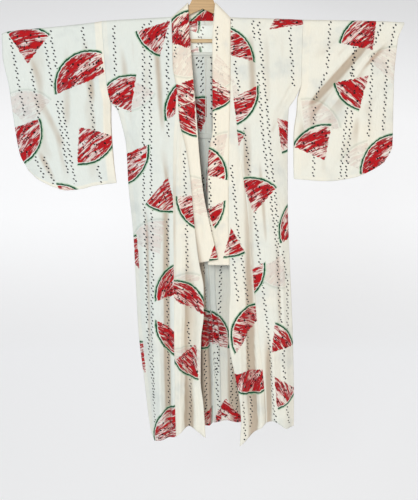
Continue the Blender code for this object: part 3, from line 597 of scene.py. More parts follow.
# Thickness of the sheets, and how far a sheet's edge tucks under its neighbour.
CLOTH_THICKNESS = 0.7
COLLAR_THICKNESS = 2.0
TUCK_UNDER = 2.0
TUCK_DEPTH = 0.9


# The hanging cloth.

@lru_cache(maxsize=None)
def prepared(rows):
    """A table's rows in order and the slope of a smooth curve at each."""
    rows = sorted(rows)
    slopes = [(b[1] - a[1]) / (b[0] - a[0]) for a, b in zip(rows, rows[1:])]
    tangents = [slopes[0]]
    for before, after in zip(slopes, slopes[1:]):
        same_way = before * after > 0
        tangents.append(2 * before * after / (before + after) if same_way else 0.0)
    tangents.append(slopes[-1])
    return rows, tangents


def on_curve(rows, key):
    """The value of a table of (key, value) rows at a key, on a smooth curve that doesn't overshoot."""
    rows, tangents = prepared(rows)
    if key <= rows[0][0]:
        return rows[0][1]
    for i, (a, b) in enumerate(zip(rows, rows[1:])):
        if key <= b[0]:
            span = b[0] - a[0]
            t = (key - a[0]) / span
            blend = t * t * (3 - 2 * t)
            swing = span * t * (1 - t) * (tangents[i] * (1 - t) - tangents[i + 1] * t)
            return a[1] + (b[1] - a[1]) * blend + swing
    return rows[-1][1]


def mix(a, b, t):
    """Straight blend from a to b."""
    return a + (b - a) * t


def smooth(t):
    """A soft step from 0 to 1."""
    t = min(1.0, max(0.0, t))
    return t * t * (3 - 2 * t)


def shares(count):
    """Evenly spaced shares from 0 to 1."""
    return [i / count for i in range(count + 1)]


def fold_relief(folds, across, height, hem):
    """How far all main folds together lift the cloth at one place."""
    total = 0.0
    for fold in folds:
        if height < fold.top_height:
            run = (fold.top_height - height) / (fold.top_height - hem)
            centre = mix(fold.top_across, fold.hem_across, run)
            off = abs(across - centre) / fold.half_width
            if off < 1:
                total += fold.depth * min(1.0, run) ** FOLD_ONSET * math.cos(off * math.pi / 2) ** 2
    return total


def crease_relief(creases, across, height):
    """How far the softer creases together lift the cloth at one place."""
    total = 0.0
    for crease in creases:
        run_x = crease.end_across - crease.start_across
        run_z = crease.end_height - crease.start_height
        length = math.hypot(run_x, run_z)
        off_x = across - crease.start_across
        off_z = height - crease.start_height
        along = (off_x * run_x + off_z * run_z) / length ** 2
        if 0 < along < 1:
            off = abs(off_x * run_z - off_z * run_x) / length / crease.half_width
            if off < 1:
                fade = smooth(along / CREASE_RISE) * smooth((1 - along) / CREASE_END)
                total += crease.depth * fade * math.cos(off * math.pi / 2) ** 2
    return total


def ripple(face, across, height):
    """Small unevenness of one face of the cloth."""
    total = 0.0
    layer = sum(ord(letter) for letter in face) * RIPPLE_LAYER_STEP
    for size, rise in RIPPLES:
        total += rise * noise.noise(Vector((across / size, height / size * RIPPLE_STRETCH, layer)))
    return total


def side_rise(side, across, height):
    """0 at the side edge, 1 where the cloth has rounded to its full depth."""
    inward = abs(on_curve(SIDE_EDGE[side], height) - across)
    return math.sin(min(1.0, inward / SIDE_ROLL) * math.pi / 2)


def front_depth(side, across, height):
    """How far in front of the middle plane the front hangs."""
    edge = on_curve(SIDE_GAP[side], height)
    face = side + " front"
    small = crease_relief(CREASES[face], across, height) + ripple(face, across, height)
    full = on_curve(FULLNESS, height) + fold_relief(FRONT_FOLDS[side], across, height, HEM_LEVEL)
    full += small * smooth((CREASED_BELOW - height) / CREASED_WITHIN)
    return edge + (full - edge) * side_rise(side, across, height)


def back_depth(side, across, height):
    """How far behind the middle plane the back hangs."""
    edge = on_curve(SIDE_GAP[side], height)
    small = crease_relief(CREASES["right back"] + CREASES["left back"], across, height)
    small += ripple("back", across, height)
    full = on_curve(FULLNESS, height) + fold_relief(BACK_FOLDS[side], across, height, HEM_LEVEL)
    full += small * smooth((CREASED_BELOW - height) / CREASED_WITHIN)
    depth = edge + (full - edge) * side_rise(side, across, height)
    inward = on_curve(CENTRE_BACK_SEAM, height) - BACK_STEP_MARGIN - across
    if side == "right" and height < BACK_STEP_TOP and inward > 0:
        run = min(1.0, (BACK_STEP_TOP - height) / (BACK_STEP_TOP - HEM_LEVEL))
        step = smooth(inward / BACK_STEP_WIDTH)
        fade = smooth(1 - max(0.0, inward - BACK_STEP_WIDTH) / BACK_STEP_REACH)
        depth -= BACK_STEP_DEPTH * run ** STEP_ONSET * step * fade
    return depth


def outwards(side):
    """The direction from the centre to this side."""
    return -1.0 if side == "right" else 1.0


def armhole_share(side):
    """How far down a body panel the armhole ends."""
    top = SHOULDER_END[side].height - SHOULDER_RADIUS
    return (ARMHOLE_FOOT[side] - top) / (SIDE_EDGE[side][-1].height - top)


def inner_height(side, share):
    """Height on a body front's inner edge."""
    top = NECK_POINT[side].height - SHOULDER_RADIUS
    armhole = armhole_share(side)
    okumi_top = OKUMI_SEAM[side][0].height
    if share <= armhole:
        return mix(top, okumi_top, share / armhole)
    return mix(okumi_top, OKUMI_SEAM[side][-1].height, (share - armhole) / (1 - armhole))


def inner_across(side, height):
    """A body front's inner edge: the collar's seam above, the narrow panel's seam below."""
    if height > OKUMI_SEAM[side][0].height:
        return on_curve(FRONT_EDGE[side], height)
    return on_curve(OKUMI_SEAM[side], height)


def outer_height(side, share):
    """Height on a body panel's side edge."""
    return mix(SHOULDER_END[side].height - SHOULDER_RADIUS, SIDE_EDGE[side][-1].height, share)


def hem_offset(hem, across, share):
    """How far the hem line pulls a lower row off the straight line between its ends."""
    ends = sorted((hem[0], hem[-1]))
    t = (across - ends[0][0]) / (ends[1][0] - ends[0][0])
    straight = mix(ends[0][1], ends[1][1], min(1.0, max(0.0, t)))
    pull = max(0.0, (share - HEM_PULL_START) / (1 - HEM_PULL_START)) ** 2
    return (on_curve(hem, across) - straight) * pull


def spread(table):
    """Evenly spaced values as a table over 0 to 1."""
    return tuple((i / (len(table) - 1), value) for i, value in enumerate(table))


def back_inner_edge(side, share):
    """A body back's inner edge: round the neck, then down the centre seam."""
    neck_end = armhole_share(side) * NECK_SHARE
    if share < neck_end:
        along = share / neck_end
        seam = NECK_SEAM[side]
        return (on_curve(spread(tuple(edge.across for edge in seam)), along),
                on_curve(spread(tuple(edge.height for edge in seam)), along))
    below_neck = (share - neck_end) / (1 - neck_end)
    height = mix(NECK_SEAM[side][-1].height, CENTRE_BACK_SEAM[-1].height, below_neck)
    return on_curve(CENTRE_BACK_SEAM, height), height


def body_row(side, share, face):
    """Points of one row of a body panel, from under its inner neighbour to the side."""
    if face == "front":
        start_z = inner_height(side, share)
        start_x = inner_across(side, start_z)
    else:
        start_x, start_z = back_inner_edge(side, share)
    end_z = outer_height(side, share)
    end_x = on_curve(SIDE_EDGE[side], end_z)
    hem = (FRONT_HEM if face == "front" else BACK_HEM)[side]
    facing = -1.0 if face == "front" else 1.0
    tuck = TUCK_DEPTH * (2 if side == "left" and face == "back" else 1)
    row = []
    for column in [None] + shares(BODY_COLUMNS):
        x = mix(start_x, end_x, column or 0.0)
        z = mix(start_z, end_z, column or 0.0)
        depth = front_depth(side, x, z) if face == "front" else back_depth(side, x, z)
        if column is None:
            x -= outwards(side) * TUCK_UNDER
            depth -= tuck
        row.append((x, facing * depth, z + hem_offset(hem, x, share)))
    return row


def arc_angles():
    """Angles over the shoulder between the front sheet and the back sheet."""
    return [math.pi * i / ARC_STEPS for i in range(1, ARC_STEPS)]


def over_shoulder(front, back):
    """Rows that carry the cloth over the shoulder, from the front's top row to the back's."""
    rows = []
    for angle in arc_angles():
        t = (1 - math.cos(angle)) / 2
        row = []
        for a, b in zip(front, back):
            radius = (b[1] - a[1]) / 2
            rise = max(radius, LEAST_ROLL) * math.sin(angle)
            row.append((mix(a[0], b[0], t), mix(a[1], b[1], t), mix(a[2], b[2], t) + rise))
        rows.append(row)
    return rows


def body_sheet(side):
    """A body panel from the front hem, over the shoulder, to the back hem."""
    front = [body_row(side, share, "front") for share in reversed(shares(BODY_STEPS))]
    back = [body_row(side, share, "back") for share in shares(BODY_STEPS)]
    return front, over_shoulder(front[-1], back[0]), back


def okumi_height(side, t):
    """Height on the narrow panel's free edge, t of the way down."""
    return mix(OKUMI_SEAM[side][0].height, FRONT_TIP[side].height, t)


def okumi_sheet(side):
    """The narrow front panel, from its hem to its top."""
    armhole = armhole_share(side)
    rows = []
    for t in reversed(shares(OKUMI_STEPS)):
        share = mix(armhole, 1.0, t)
        seam_z = inner_height(side, share)
        seam_x = on_curve(OKUMI_SEAM[side], seam_z)
        free_z = okumi_height(side, t)
        free_x = on_curve(FRONT_EDGE[side], free_z)
        row = []
        for column in shares(OKUMI_COLUMNS):
            x = mix(seam_x, free_x, column)
            z = mix(seam_z, free_z, column)
            row.append((x, -front_depth(side, x, z), z + hem_offset(OKUMI_HEM[side], x, share)))
        rows.append(row)
    return rows, [], []


def collar_puff(t, column):
    """How far the folded band swells between its edges."""
    swing = 1 + COLLAR_PUFF_SWING * math.sin(COLLAR_PUFF_WAVES * t)
    return COLLAR_PUFF * math.sin(math.pi * column) * swing


def collar_front(side):
    """Rows of the collar down one front, from the neck to its end."""
    top = NECK_POINT[side].height - SHOULDER_RADIUS
    rows = []
    for t in shares(COLLAR_STEPS):
        height = mix(top, COLLAR_END[side], t)
        seam_x = on_curve(FRONT_EDGE[side], height)
        seam_y = -front_depth(side, seam_x, height) - COLLAR_STAND
        free_z = mix(COLLAR_FREE_TOP[side], COLLAR_FREE_FOOT[side], t)
        free_x = on_curve(COLLAR_FREE_EDGE[side], free_z)
        free_y = seam_y - on_curve(spread(COLLAR_LIFT[side]), t)
        row = []
        for column in shares(COLLAR_COLUMNS):
            x = mix(seam_x, free_x, column)
            z = mix(height, free_z, column)
            swell = collar_puff(t, column)
            swell += crease_relief(CREASES["collar"], x, z) * math.sin(math.pi * column)
            row.append((x, mix(seam_y, free_y, column) - swell, z))
        rows.append(row)
    return rows


def collar_neck(side):
    """Rows of the collar over one shoulder and along the back of the neck to the centre."""
    rows = []
    front_z = NECK_POINT[side].height - SHOULDER_RADIUS
    front_x = on_curve(FRONT_EDGE[side], front_z)
    start = NECK_SEAM[side][0]
    ridge = COLLAR_FREE_RIDGE[side]
    stations = []
    for angle in arc_angles():
        t = (1 - math.cos(angle)) / 2
        y = -SHOULDER_RADIUS * math.cos(angle)
        seam = (mix(front_x, start.across, t), y,
                mix(front_z, start.height, t) + SHOULDER_RADIUS * math.sin(angle))
        free_rise = (ridge.height - COLLAR_FREE_TOP[side]) * math.sin(angle)
        stations.append((seam, (ridge.across, y, COLLAR_FREE_TOP[side] + free_rise)))
    seam_across = spread(tuple(edge.across for edge in NECK_SEAM[side]))
    seam_height = spread(tuple(edge.height for edge in NECK_SEAM[side]))
    for t in shares(ARC_STEPS):
        x = on_curve(seam_across, t)
        z = on_curve(seam_height, t)
        y = back_depth(side, x, z)
        free_x = on_curve(spread(COLLAR_BACK_ACROSS[side]), t)
        stations.append(((x, y, z), (free_x, y + COLLAR_BACK_STAND, COLLAR_BACK_HEIGHT)))
    for seam, free in stations:
        rows.append([tuple(mix(a, b, column) for a, b in zip(seam, free))
                     for column in shares(COLLAR_COLUMNS)])
    return rows


def collar_sheet():
    """The collar from the right front's end, round the neck, to the left front's end."""
    right = list(reversed(collar_front("right")))
    neck = collar_neck("right") + list(reversed(collar_neck("left")))[1:]
    return right, neck, collar_front("left")


def sleeve_place(side, column, share):
    """Across and height on a sleeve, from its four edges."""
    top = SLEEVE_TOP[side]
    foot = SLEEVE_FOOT[side]
    top_x = mix(top[0][0], top[-1][0], column)
    top_z = on_curve(top, top_x) - mix(SHOULDER_RADIUS, SLEEVE_END_RADIUS, column)
    foot_x = mix(foot[0][0], foot[-1][0], column)
    foot_z = on_curve(foot, foot_x) + SLEEVE_FOOT_RADIUS
    inner_top = top[0][1] - SHOULDER_RADIUS
    inner_z = mix(inner_top, foot[0][1] + SLEEVE_FOOT_RADIUS, share)
    end_top = top[-1][1] - SLEEVE_END_RADIUS
    end_z = mix(end_top, foot[-1][1] + SLEEVE_FOOT_RADIUS, share)
    corners_x = mix(mix(top[0][0], top[-1][0], column), mix(foot[0][0], foot[-1][0], column), share)
    corners_z = mix(mix(inner_top, end_top, column),
                    mix(foot[0][1] + SLEEVE_FOOT_RADIUS, foot[-1][1] + SLEEVE_FOOT_RADIUS, column), share)
    x = mix(top_x, foot_x, share) - corners_x
    x += mix(on_curve(SLEEVE_INNER[side], inner_z), on_curve(SLEEVE_END[side], end_z), column)
    z = mix(top_z, foot_z, share) + mix(inner_z, end_z, column) - corners_z
    return x + SEAM_GAP * outwards(side) * (1 - column), z


def sleeve_half_gap(side, column, share, face, across, height):
    """Half the distance between a sleeve's two layers at one place."""
    folds = (SLEEVE_FOLDS if face == "front" else SLEEVE_BACK_FOLDS)[side]
    name = side + " sleeve " + face
    radius = mix(SHOULDER_RADIUS, SLEEVE_END_RADIUS, column)
    inner = max(on_curve(SIDE_GAP[side], height), SLEEVE_ARMHOLE_HALF)
    closed = min(1.0, max(0.0, (CUFF_FOOT[side] - height) / CUFF_CLOSING))
    end = mix(CUFF_HALF, SEWN_CUFF_HALF, closed)
    edges = mix(inner, end, column * column)
    middle = 4 * column * (1 - column)
    small = crease_relief(CREASES[name], across, height) + ripple(name, across, height)
    bulge = (SLEEVE_MID_HALF + fold_relief(folds, across, height, SLEEVE_FOLD_HEM) - edges) * middle
    bulge += small * min(1.0, SLEEVE_SMALL_SPREAD * middle)
    body = edges + bulge * math.sin(min(1.0, share / SLEEVE_FULL_REACH) * math.pi / 2)
    from_top = mix(radius, body, min(1.0, share / SLEEVE_TOP_REACH))
    to_foot = math.sin(min(1.0, (1 - share) / SLEEVE_FOOT_REACH) * math.pi / 2)
    foot = min(SLEEVE_FOOT_RADIUS, from_top)
    return foot + (from_top - foot) * to_foot


def sleeve_row(side, share, face):
    """Points of one row of a sleeve, from under the body to the cuff's end."""
    facing = -1.0 if face == "front" else 1.0
    row = []
    for column in [None] + shares(SLEEVE_COLUMNS):
        x, z = sleeve_place(side, column or 0.0, share)
        half = sleeve_half_gap(side, column or 0.0, share, face, x, z)
        if column is None:
            x -= outwards(side) * TUCK_UNDER
            half -= TUCK_DEPTH
        row.append((x, facing * half, z))
    return row


def sleeve_sheet(side):
    """A sleeve's one length of cloth, from its foot up the front, over the top, and down the back."""
    steps = shares(SLEEVE_STEPS)
    front = [sleeve_row(side, share, "front") for share in reversed(steps)]
    back = [sleeve_row(side, share, "back") for share in steps]
    keel = [(x, 0.0, z - SLEEVE_FOOT_RADIUS) for x, _, z in front[0]]
    front.insert(0, [(x, y - FOOT_EDGE_HALF, z) for x, y, z in keel])
    back.append([(x, y + FOOT_EDGE_HALF, z) for x, y, z in keel])
    return front, over_shoulder(front[-1], back[0]), back


def along_back(lines, inset):
    """A layer just inside the back, through lines of (across, height) points."""
    rows = []
    for line in lines:
        row = []
        for x, z in line:
            side = "right" if x < on_curve(CENTRE_BACK_SEAM, z) else "left"
            row.append((x, back_depth(side, x, z) - inset, z))
        rows.append(row)
    return rows, [], []


def level_lines(left, right, columns, heights):
    """Level lines of (across, height) points between two places across."""
    return [[(mix(left, right, t), z) for t in shares(columns)] for z in heights]


def lining_sheet():
    """The inner shoulder piece, just inside the back."""
    heights = [mix(LINING_TOP, LINING_HEM, t) for t in shares(LINING_STEPS)]
    return along_back(level_lines(LINING_LEFT, LINING_RIGHT, LINING_COLUMNS, heights), LINING_INSET)


def inner_strips():
    """Small sewn layers inside the back: seam allowance, tuck and the lining's hem."""
    down = [mix(SEAM_STRIP_TOP, SEAM_STRIP_FOOT, t) for t in shares(SEAM_STRIP_STEPS)]
    seam = [[(on_curve(CENTRE_BACK_SEAM, z) + off, z) for off in SEAM_STRIP_OFFSETS] for z in down]
    tuck = level_lines(TUCK_LEFT, TUCK_RIGHT, TUCK_COLUMNS, TUCK_HEIGHTS)
    hem = level_lines(LINING_LEFT, LINING_RIGHT, LINING_COLUMNS, HEM_HEIGHTS)
    return {"centre_seam_allowance": along_back(seam, SEAM_STRIP_INSET),
            "back_tuck": along_back(tuck, TUCK_INSET),
            "lining_hem": along_back(hem, HEM_INSET)}


# Cloth as meshes.

def trough_shade(grid):
    """How much painted shade each point takes: 0 on ridges, up to 1 in troughs, by how far it lies behind
    those beside it in its row.
    """
    depth = np.abs(grid[:, :, 1])
    around = np.zeros_like(depth)
    for reach in TROUGH_REACHES:
        padded = np.pad(depth, ((0, 0), (reach, reach)), mode="edge")
        window = 2 * reach + 1
        beside = sum(padded[:, i:i + depth.shape[1]] for i in range(window)) / window
        around += beside / len(TROUGH_REACHES)
    steps = np.linalg.norm(np.diff(grid, axis=1), axis=2)
    beyond = np.concatenate([steps, np.zeros((len(grid), 1))], axis=1)
    to_end = np.cumsum(beyond[:, ::-1], axis=1)[:, ::-1]
    fade = np.clip(to_end / TROUGH_EDGE, 0.0, 1.0) ** 2
    return TROUGH_SHOW * fade * np.clip((around - depth) / TROUGH_DEPTH, 0.0, 1.0)


def lay_flat(parts, tilt=0.0, band=False):
    """Places of all points on the flat cloth, in the photo's own sense on the front.

    tilt is the slope of the cloth's threads.  A band is laid out along its length instead.
    """
    front, over, back = parts
    grid = np.array(front + over + back)
    seen = grid[:, :, (0, 2)]
    threads = np.array(((math.cos(tilt), math.sin(tilt)), (-math.sin(tilt), math.cos(tilt))))
    across, down = np.moveaxis(seen @ threads.T, 2, 0)
    steps = np.linalg.norm(np.diff(grid, axis=1), axis=2)
    hidden = steps if band else steps - np.linalg.norm(np.diff(seen, axis=1), axis=2)
    sense = 1.0 if band else np.sign(across[:, -1:] - across[:, :1])
    taken_up = np.concatenate([np.zeros((len(grid), 1)), np.cumsum(hidden, axis=1)], axis=1)
    across = sense * taken_up + (0.0 if band else across)
    if back:
        first, last = len(front) - 1, len(front) + len(over)
        turn = np.cumsum(np.linalg.norm(np.diff(grid[first:last + 1], axis=0), axis=2), axis=0)
        down[first + 1:last + 1], start = down[first] + turn, down[last].copy()
        down[last + 1:] = down[last] + start - down[last + 1:]
    return np.stack([across, down], axis=2)


def cloth(name, parts, flat, finish, thickness=CLOTH_THICKNESS, double=None):
    """A thin sheet through rows of points, with its flat layout for the print."""
    front, over, back = parts
    rows = front + over + back
    across = len(rows[0])
    points = [tuple(value * MM for value in point) for row in rows for point in row]
    faces = []
    for r in range(len(rows) - 1):
        for c in range(across - 1):
            here = r * across + c
            faces.append((here, here + 1, here + across + 1, here + across))
    mesh = bpy.data.meshes.new(name)
    mesh.from_pydata(points, [], faces)
    mesh.shade_smooth()
    flat = flat.reshape(-1, 2) * MM
    corners = np.empty(len(mesh.loops), dtype=np.int32)
    mesh.loops.foreach_get("vertex_index", corners)
    layer = mesh.uv_layers.new(name="cloth")
    layer.data.foreach_set("uv", flat[corners].astype(np.float32).ravel())
    grid = np.array(rows)
    # The painted shade for the folds' troughs is kept as an attribute beside the doubled cloth.
    shown = {"double": double(grid) if double else np.zeros(grid.shape[:2]), "trough_shade": trough_shade(grid)}
    for title, values in shown.items():
        kept = mesh.attributes.new(title, "FLOAT", "POINT")
        kept.data.foreach_set("value", values.astype(np.float32).ravel())
    thing = bpy.data.objects.new(name, mesh)
    bpy.context.scene.collection.objects.link(thing)
    wall = thing.modifiers.new("thickness", "SOLIDIFY")
    wall.thickness = thickness * MM
    wall.offset = 0.0
    mesh.materials.append(finish)
    return thing


# Where a drawn place on a face lies on the flat cloth.

class Face:
    """One face of a piece, to carry places seen from the front onto its flat cloth."""

    def __init__(self, rows, flat, turn):
        self.seen = np.array(rows)[:, :, (0, 2)].reshape(-1, 2)
        self.flat = flat.reshape(-1, 2)
        self.turn = np.array(turn)

    def flat_place(self, across, height):
        """The flat place under a point seen from the front, carried on straight beyond the edges."""
        off = np.array((across, height)) - self.seen
        nearest = int(np.argmin((off ** 2).sum(axis=1)))
        return Vector((*(self.flat[nearest] + self.turn @ off[nearest]), 0.0)) * MM

    def flat_way(self, degrees):
        """A direction seen from the front, in degrees from +X, on the flat cloth."""
        angle = math.radians(degrees)
        return Vector((*(self.turn @ (math.cos(angle), math.sin(angle))), 0.0)).normalized()


def faces_of(parts, tilt=0.0):
    """The front and back faces of a piece's sheet."""
    front, over, back = parts
    flat = lay_flat(parts, tilt)
    cos, sin = math.cos(tilt), math.sin(tilt)
    faces = [Face(front, flat[:len(front)], ((cos, sin), (-sin, cos)))]
    if back:
        faces.append(Face(back, flat[len(front) + len(over):], ((cos, sin), (sin, -cos))))
    return faces


# Materials.

def put(socket, value):
    """Join a socket to another node's output, or set its own value."""
    if isinstance(value, bpy.types.NodeSocket):
        socket.id_data.links.new(value, socket)
    else:
        socket.default_value = value


def node(tree, kind, inputs, output=0, **settings):
    """Add a node, fill its inputs, and give one of its outputs."""
    made = tree.nodes.new(kind)
    for name, value in settings.items():
        setattr(made, name, value)
    for name, value in inputs.items():
        put(made.inputs[name], value)
    return made.outputs[output]


def calc(tree, operation, *values):
    """A sum on numbers."""
    return node(tree, "ShaderNodeMath", dict(enumerate(values)), operation=operation)


def vector_calc(tree, operation, *values):
    """A sum on vectors."""
    inputs = dict(enumerate(values))
    if operation == "SCALE":
        inputs = {0: values[0], "Scale": values[1]}
    output = "Value" if operation in ("LENGTH", "DOT_PRODUCT", "DISTANCE") else "Vector"
    return node(tree, "ShaderNodeVectorMath", inputs, output, operation=operation)


def step_up(tree, value, low, high):
    """0 below low, 1 above high, with a soft rise between."""
    return node(tree, "ShaderNodeMapRange",
                {"Value": value, "From Min": low, "From Max": high}, interpolation_type="SMOOTHSTEP")


def blend(tree, factor, first, second, kind="RGBA"):
    """A blend of two colours, or of two vectors."""
    made = tree.nodes.new("ShaderNodeMix")
    made.data_type = kind
    first_index, second_index, output = {"RGBA": (6, 7, 2), "VECTOR": (4, 5, 1)}[kind]
    put(made.inputs[0], factor)
    put(made.inputs[first_index], first)
    put(made.inputs[second_index], second)
    return made.outputs[output]


def join(tree, x, y, z):
    """Three numbers as a vector."""
    return node(tree, "ShaderNodeCombineXYZ", {"X": x, "Y": y, "Z": z})


def split(tree, vector):
    """A vector's three numbers."""
    made = tree.nodes.new("ShaderNodeSeparateXYZ")
    put(made.inputs[0], vector)
    return made.outputs


def uneven(tree, place, scale, detail=2.0, rough=0.5):
    """Soft noise between 0 and 1."""
    return node(tree, "ShaderNodeTexNoise",
                {"Vector": place, "Scale": scale, "Detail": detail, "Roughness": rough})


def ramp(tree, value, stops):
    """Colours with their cover along a value; gives the colour and the cover."""
    made = tree.nodes.new("ShaderNodeValToRGB")
    elements = made.color_ramp.elements
    while len(elements) > 1:
        elements.remove(elements[-1])
    elements[0].position = stops[0][0]
    elements[0].color = stops[0][1]
    for position, colour in stops[1:]:
        elements.new(position).color = colour
    put(made.inputs[0], value)
    return made.outputs["Color"], made.outputs["Alpha"]


def new_group(name, inputs, outputs):
    """An empty node group; gives the tree, its incoming values and its outgoing sockets."""
    tree = bpy.data.node_groups.new(name, "ShaderNodeTree")
    for title, kind in inputs:
        tree.interface.new_socket(title, in_out="INPUT", socket_type="NodeSocket" + kind)
    for title, kind in outputs:
        tree.interface.new_socket(title, in_out="OUTPUT", socket_type="NodeSocket" + kind)
    return tree, tree.nodes.new("NodeGroupInput").outputs, tree.nodes.new("NodeGroupOutput").inputs


def use(tree, group, **inputs):
    """Place a node group with its inputs set; gives its outputs."""
    made = tree.nodes.new("ShaderNodeGroup")
    made.node_tree = group
    for name, value in inputs.items():
        put(made.inputs[name.replace("_", " ")], value)
    return made.outputs


def melon_place_group():
    """Finds whether a place lies in one melon slice, and where in it; else passes on what came in."""
    tree, into, out = new_group("melon place", (
        ("Cloth", "Vector"), ("Centre", "Vector"), ("Point", "Vector"), ("Way", "Vector"),
        ("Side", "Vector"), ("Opening", "Vector"), ("Lean", "Float"), ("Strength", "Float"),
        ("Place", "Vector"), ("Kind", "Vector")), (("Place", "Vector"), ("Kind", "Vector")))
    from_centre = vector_calc(tree, "SCALE", vector_calc(tree, "SUBTRACT", into["Cloth"], into["Centre"]),
                              1.0 / (SLICE_RADIUS * MM))
    radius = vector_calc(tree, "LENGTH", from_centre)
    along = vector_calc(tree, "DOT_PRODUCT", from_centre, into["Way"])
    across = vector_calc(tree, "DOT_PRODUCT", from_centre, into["Side"])
    from_point = vector_calc(tree, "SUBTRACT", into["Cloth"], into["Point"])
    ahead = vector_calc(tree, "DOT_PRODUCT", from_point, into["Way"])
    aside = calc(tree, "ABSOLUTE", vector_calc(tree, "DOT_PRODUCT", from_point, into["Side"]))
    to_side = vector_calc(tree, "DOT_PRODUCT", join(tree, ahead, aside, 0.0), into["Opening"])
    to_rind = calc(tree, "MULTIPLY", calc(tree, "SUBTRACT", 1.0, radius), SLICE_RADIUS * MM)
    inside = calc(tree, "GREATER_THAN", calc(tree, "MINIMUM", to_side, to_rind), 0.0)
    put(out["Place"], blend(tree, inside, into["Place"], join(tree, radius, along, across), "VECTOR"))
    put(out["Kind"], blend(tree, inside, into["Kind"],
                           join(tree, to_side, into["Lean"], into["Strength"]), "VECTOR"))
    return tree


def melon_print_group():
    """Paints a slice: green rind, red brush strokes and black seeds, on the ground colour."""
    tree, into, out = new_group("melon print", (
        ("Cloth", "Vector"), ("Place", "Vector"), ("Kind", "Vector"), ("Ground", "Color")),
        (("Colour", "Color"), ("Inside", "Float")))
    radius, along, across = split(tree, into["Place"])
    edge, lean, strength = split(tree, into["Kind"])
    inside = calc(tree, "GREATER_THAN", edge, 0.0)
    wobble = calc(tree, "SUBTRACT", uneven(tree, into["Cloth"], WOBBLE_SCALE), 0.5)
    radius = calc(tree, "MULTIPLY_ADD", wobble, RADIUS_WOBBLE, radius)
    uneven_edge = calc(tree, "MULTIPLY_ADD", wobble, EDGE_WOBBLE, edge)
    soft_edge = step_up(tree, uneven_edge, 0.0, EDGE_SOFTNESS)
    amount = calc(tree, "MULTIPLY", calc(tree, "MULTIPLY", inside, soft_edge), strength)
    rind, rind_cover = ramp(tree, radius, RIND)
    rind_cover = calc(tree, "MULTIPLY", rind_cover, amount)
    angle = calc(tree, "ARCTAN2", across, along)
    cosine = calc(tree, "COSINE", lean)
    sine = calc(tree, "SINE", lean)
    with_brush = calc(tree, "ADD", calc(tree, "MULTIPLY", along, cosine),
                      calc(tree, "MULTIPLY", across, sine))
    over_brush = calc(tree, "SUBTRACT", calc(tree, "MULTIPLY", across, cosine),
                      calc(tree, "MULTIPLY", along, sine))
    bent = calc(tree, "MULTIPLY_ADD", calc(tree, "MULTIPLY", with_brush, with_brush), STROKE_BEND,
                over_brush)
    way = join(tree, bent, calc(tree, "MULTIPLY", with_brush, STROKE_STRETCH),
               calc(tree, "MULTIPLY", lean, STROKE_CHANGE))
    broad = uneven(tree, way, BROAD_SCALE)
    fine = uneven(tree, way, FINE_SCALE, *FINE_NOISE)
    patches = calc(tree, "SUBTRACT", uneven(tree, into["Cloth"], PATCH_SCALE, 1.0), 0.5)
    strokes = calc(tree, "MULTIPLY_ADD", broad, BROAD_SHOW, calc(tree, "MULTIPLY", fine, FINE_SHOW))
    strokes = calc(tree, "MULTIPLY_ADD", patches, PATCH_SHOW, strokes)
    flesh, flesh_cover = ramp(tree, strokes, FLESH)
    in_flesh = calc(tree, "SUBTRACT", 1.0, step_up(tree, radius, *FLESH_END))
    fade = step_up(tree, uneven_edge, 0.0, FLESH_SOFTNESS)
    flesh_cover = calc(tree, "MULTIPLY", calc(tree, "MULTIPLY", flesh_cover, in_flesh),
                       calc(tree, "MULTIPLY", amount, fade))
    spots = join(tree, calc(tree, "MULTIPLY", angle, SEEDS_ROUND),
                 calc(tree, "MULTIPLY", radius, SEEDS_OUT), 0.0)
    cells = tree.nodes.new("ShaderNodeTexVoronoi")
    cells.voronoi_dimensions = "2D"
    put(cells.inputs["Vector"], spots)
    put(cells.inputs["Scale"], 1.0)
    near = calc(tree, "LESS_THAN", cells.outputs["Distance"], SEED_SIZE)
    chosen = calc(tree, "GREATER_THAN", split(tree, cells.outputs["Color"])[0], SEED_CHANCE)
    band = calc(tree, "MULTIPLY", step_up(tree, radius, *SEEDS_FROM),
                calc(tree, "SUBTRACT", 1.0, step_up(tree, radius, *SEEDS_TO)))
    seeds = calc(tree, "MULTIPLY", calc(tree, "MULTIPLY", near, chosen),
                 calc(tree, "MULTIPLY", band, calc(tree, "MULTIPLY", amount, fade)))
    colour = blend(tree, rind_cover, into["Ground"], rind)
    colour = blend(tree, flesh_cover, colour, flesh)
    colour = blend(tree, seeds, colour, (*SEED_BLACK, 1.0))
    put(out["Colour"], colour)
    put(out["Inside"], calc(tree, "MULTIPLY", inside, step_up(tree, strength, *HIDES_DOTS)))
    return tree


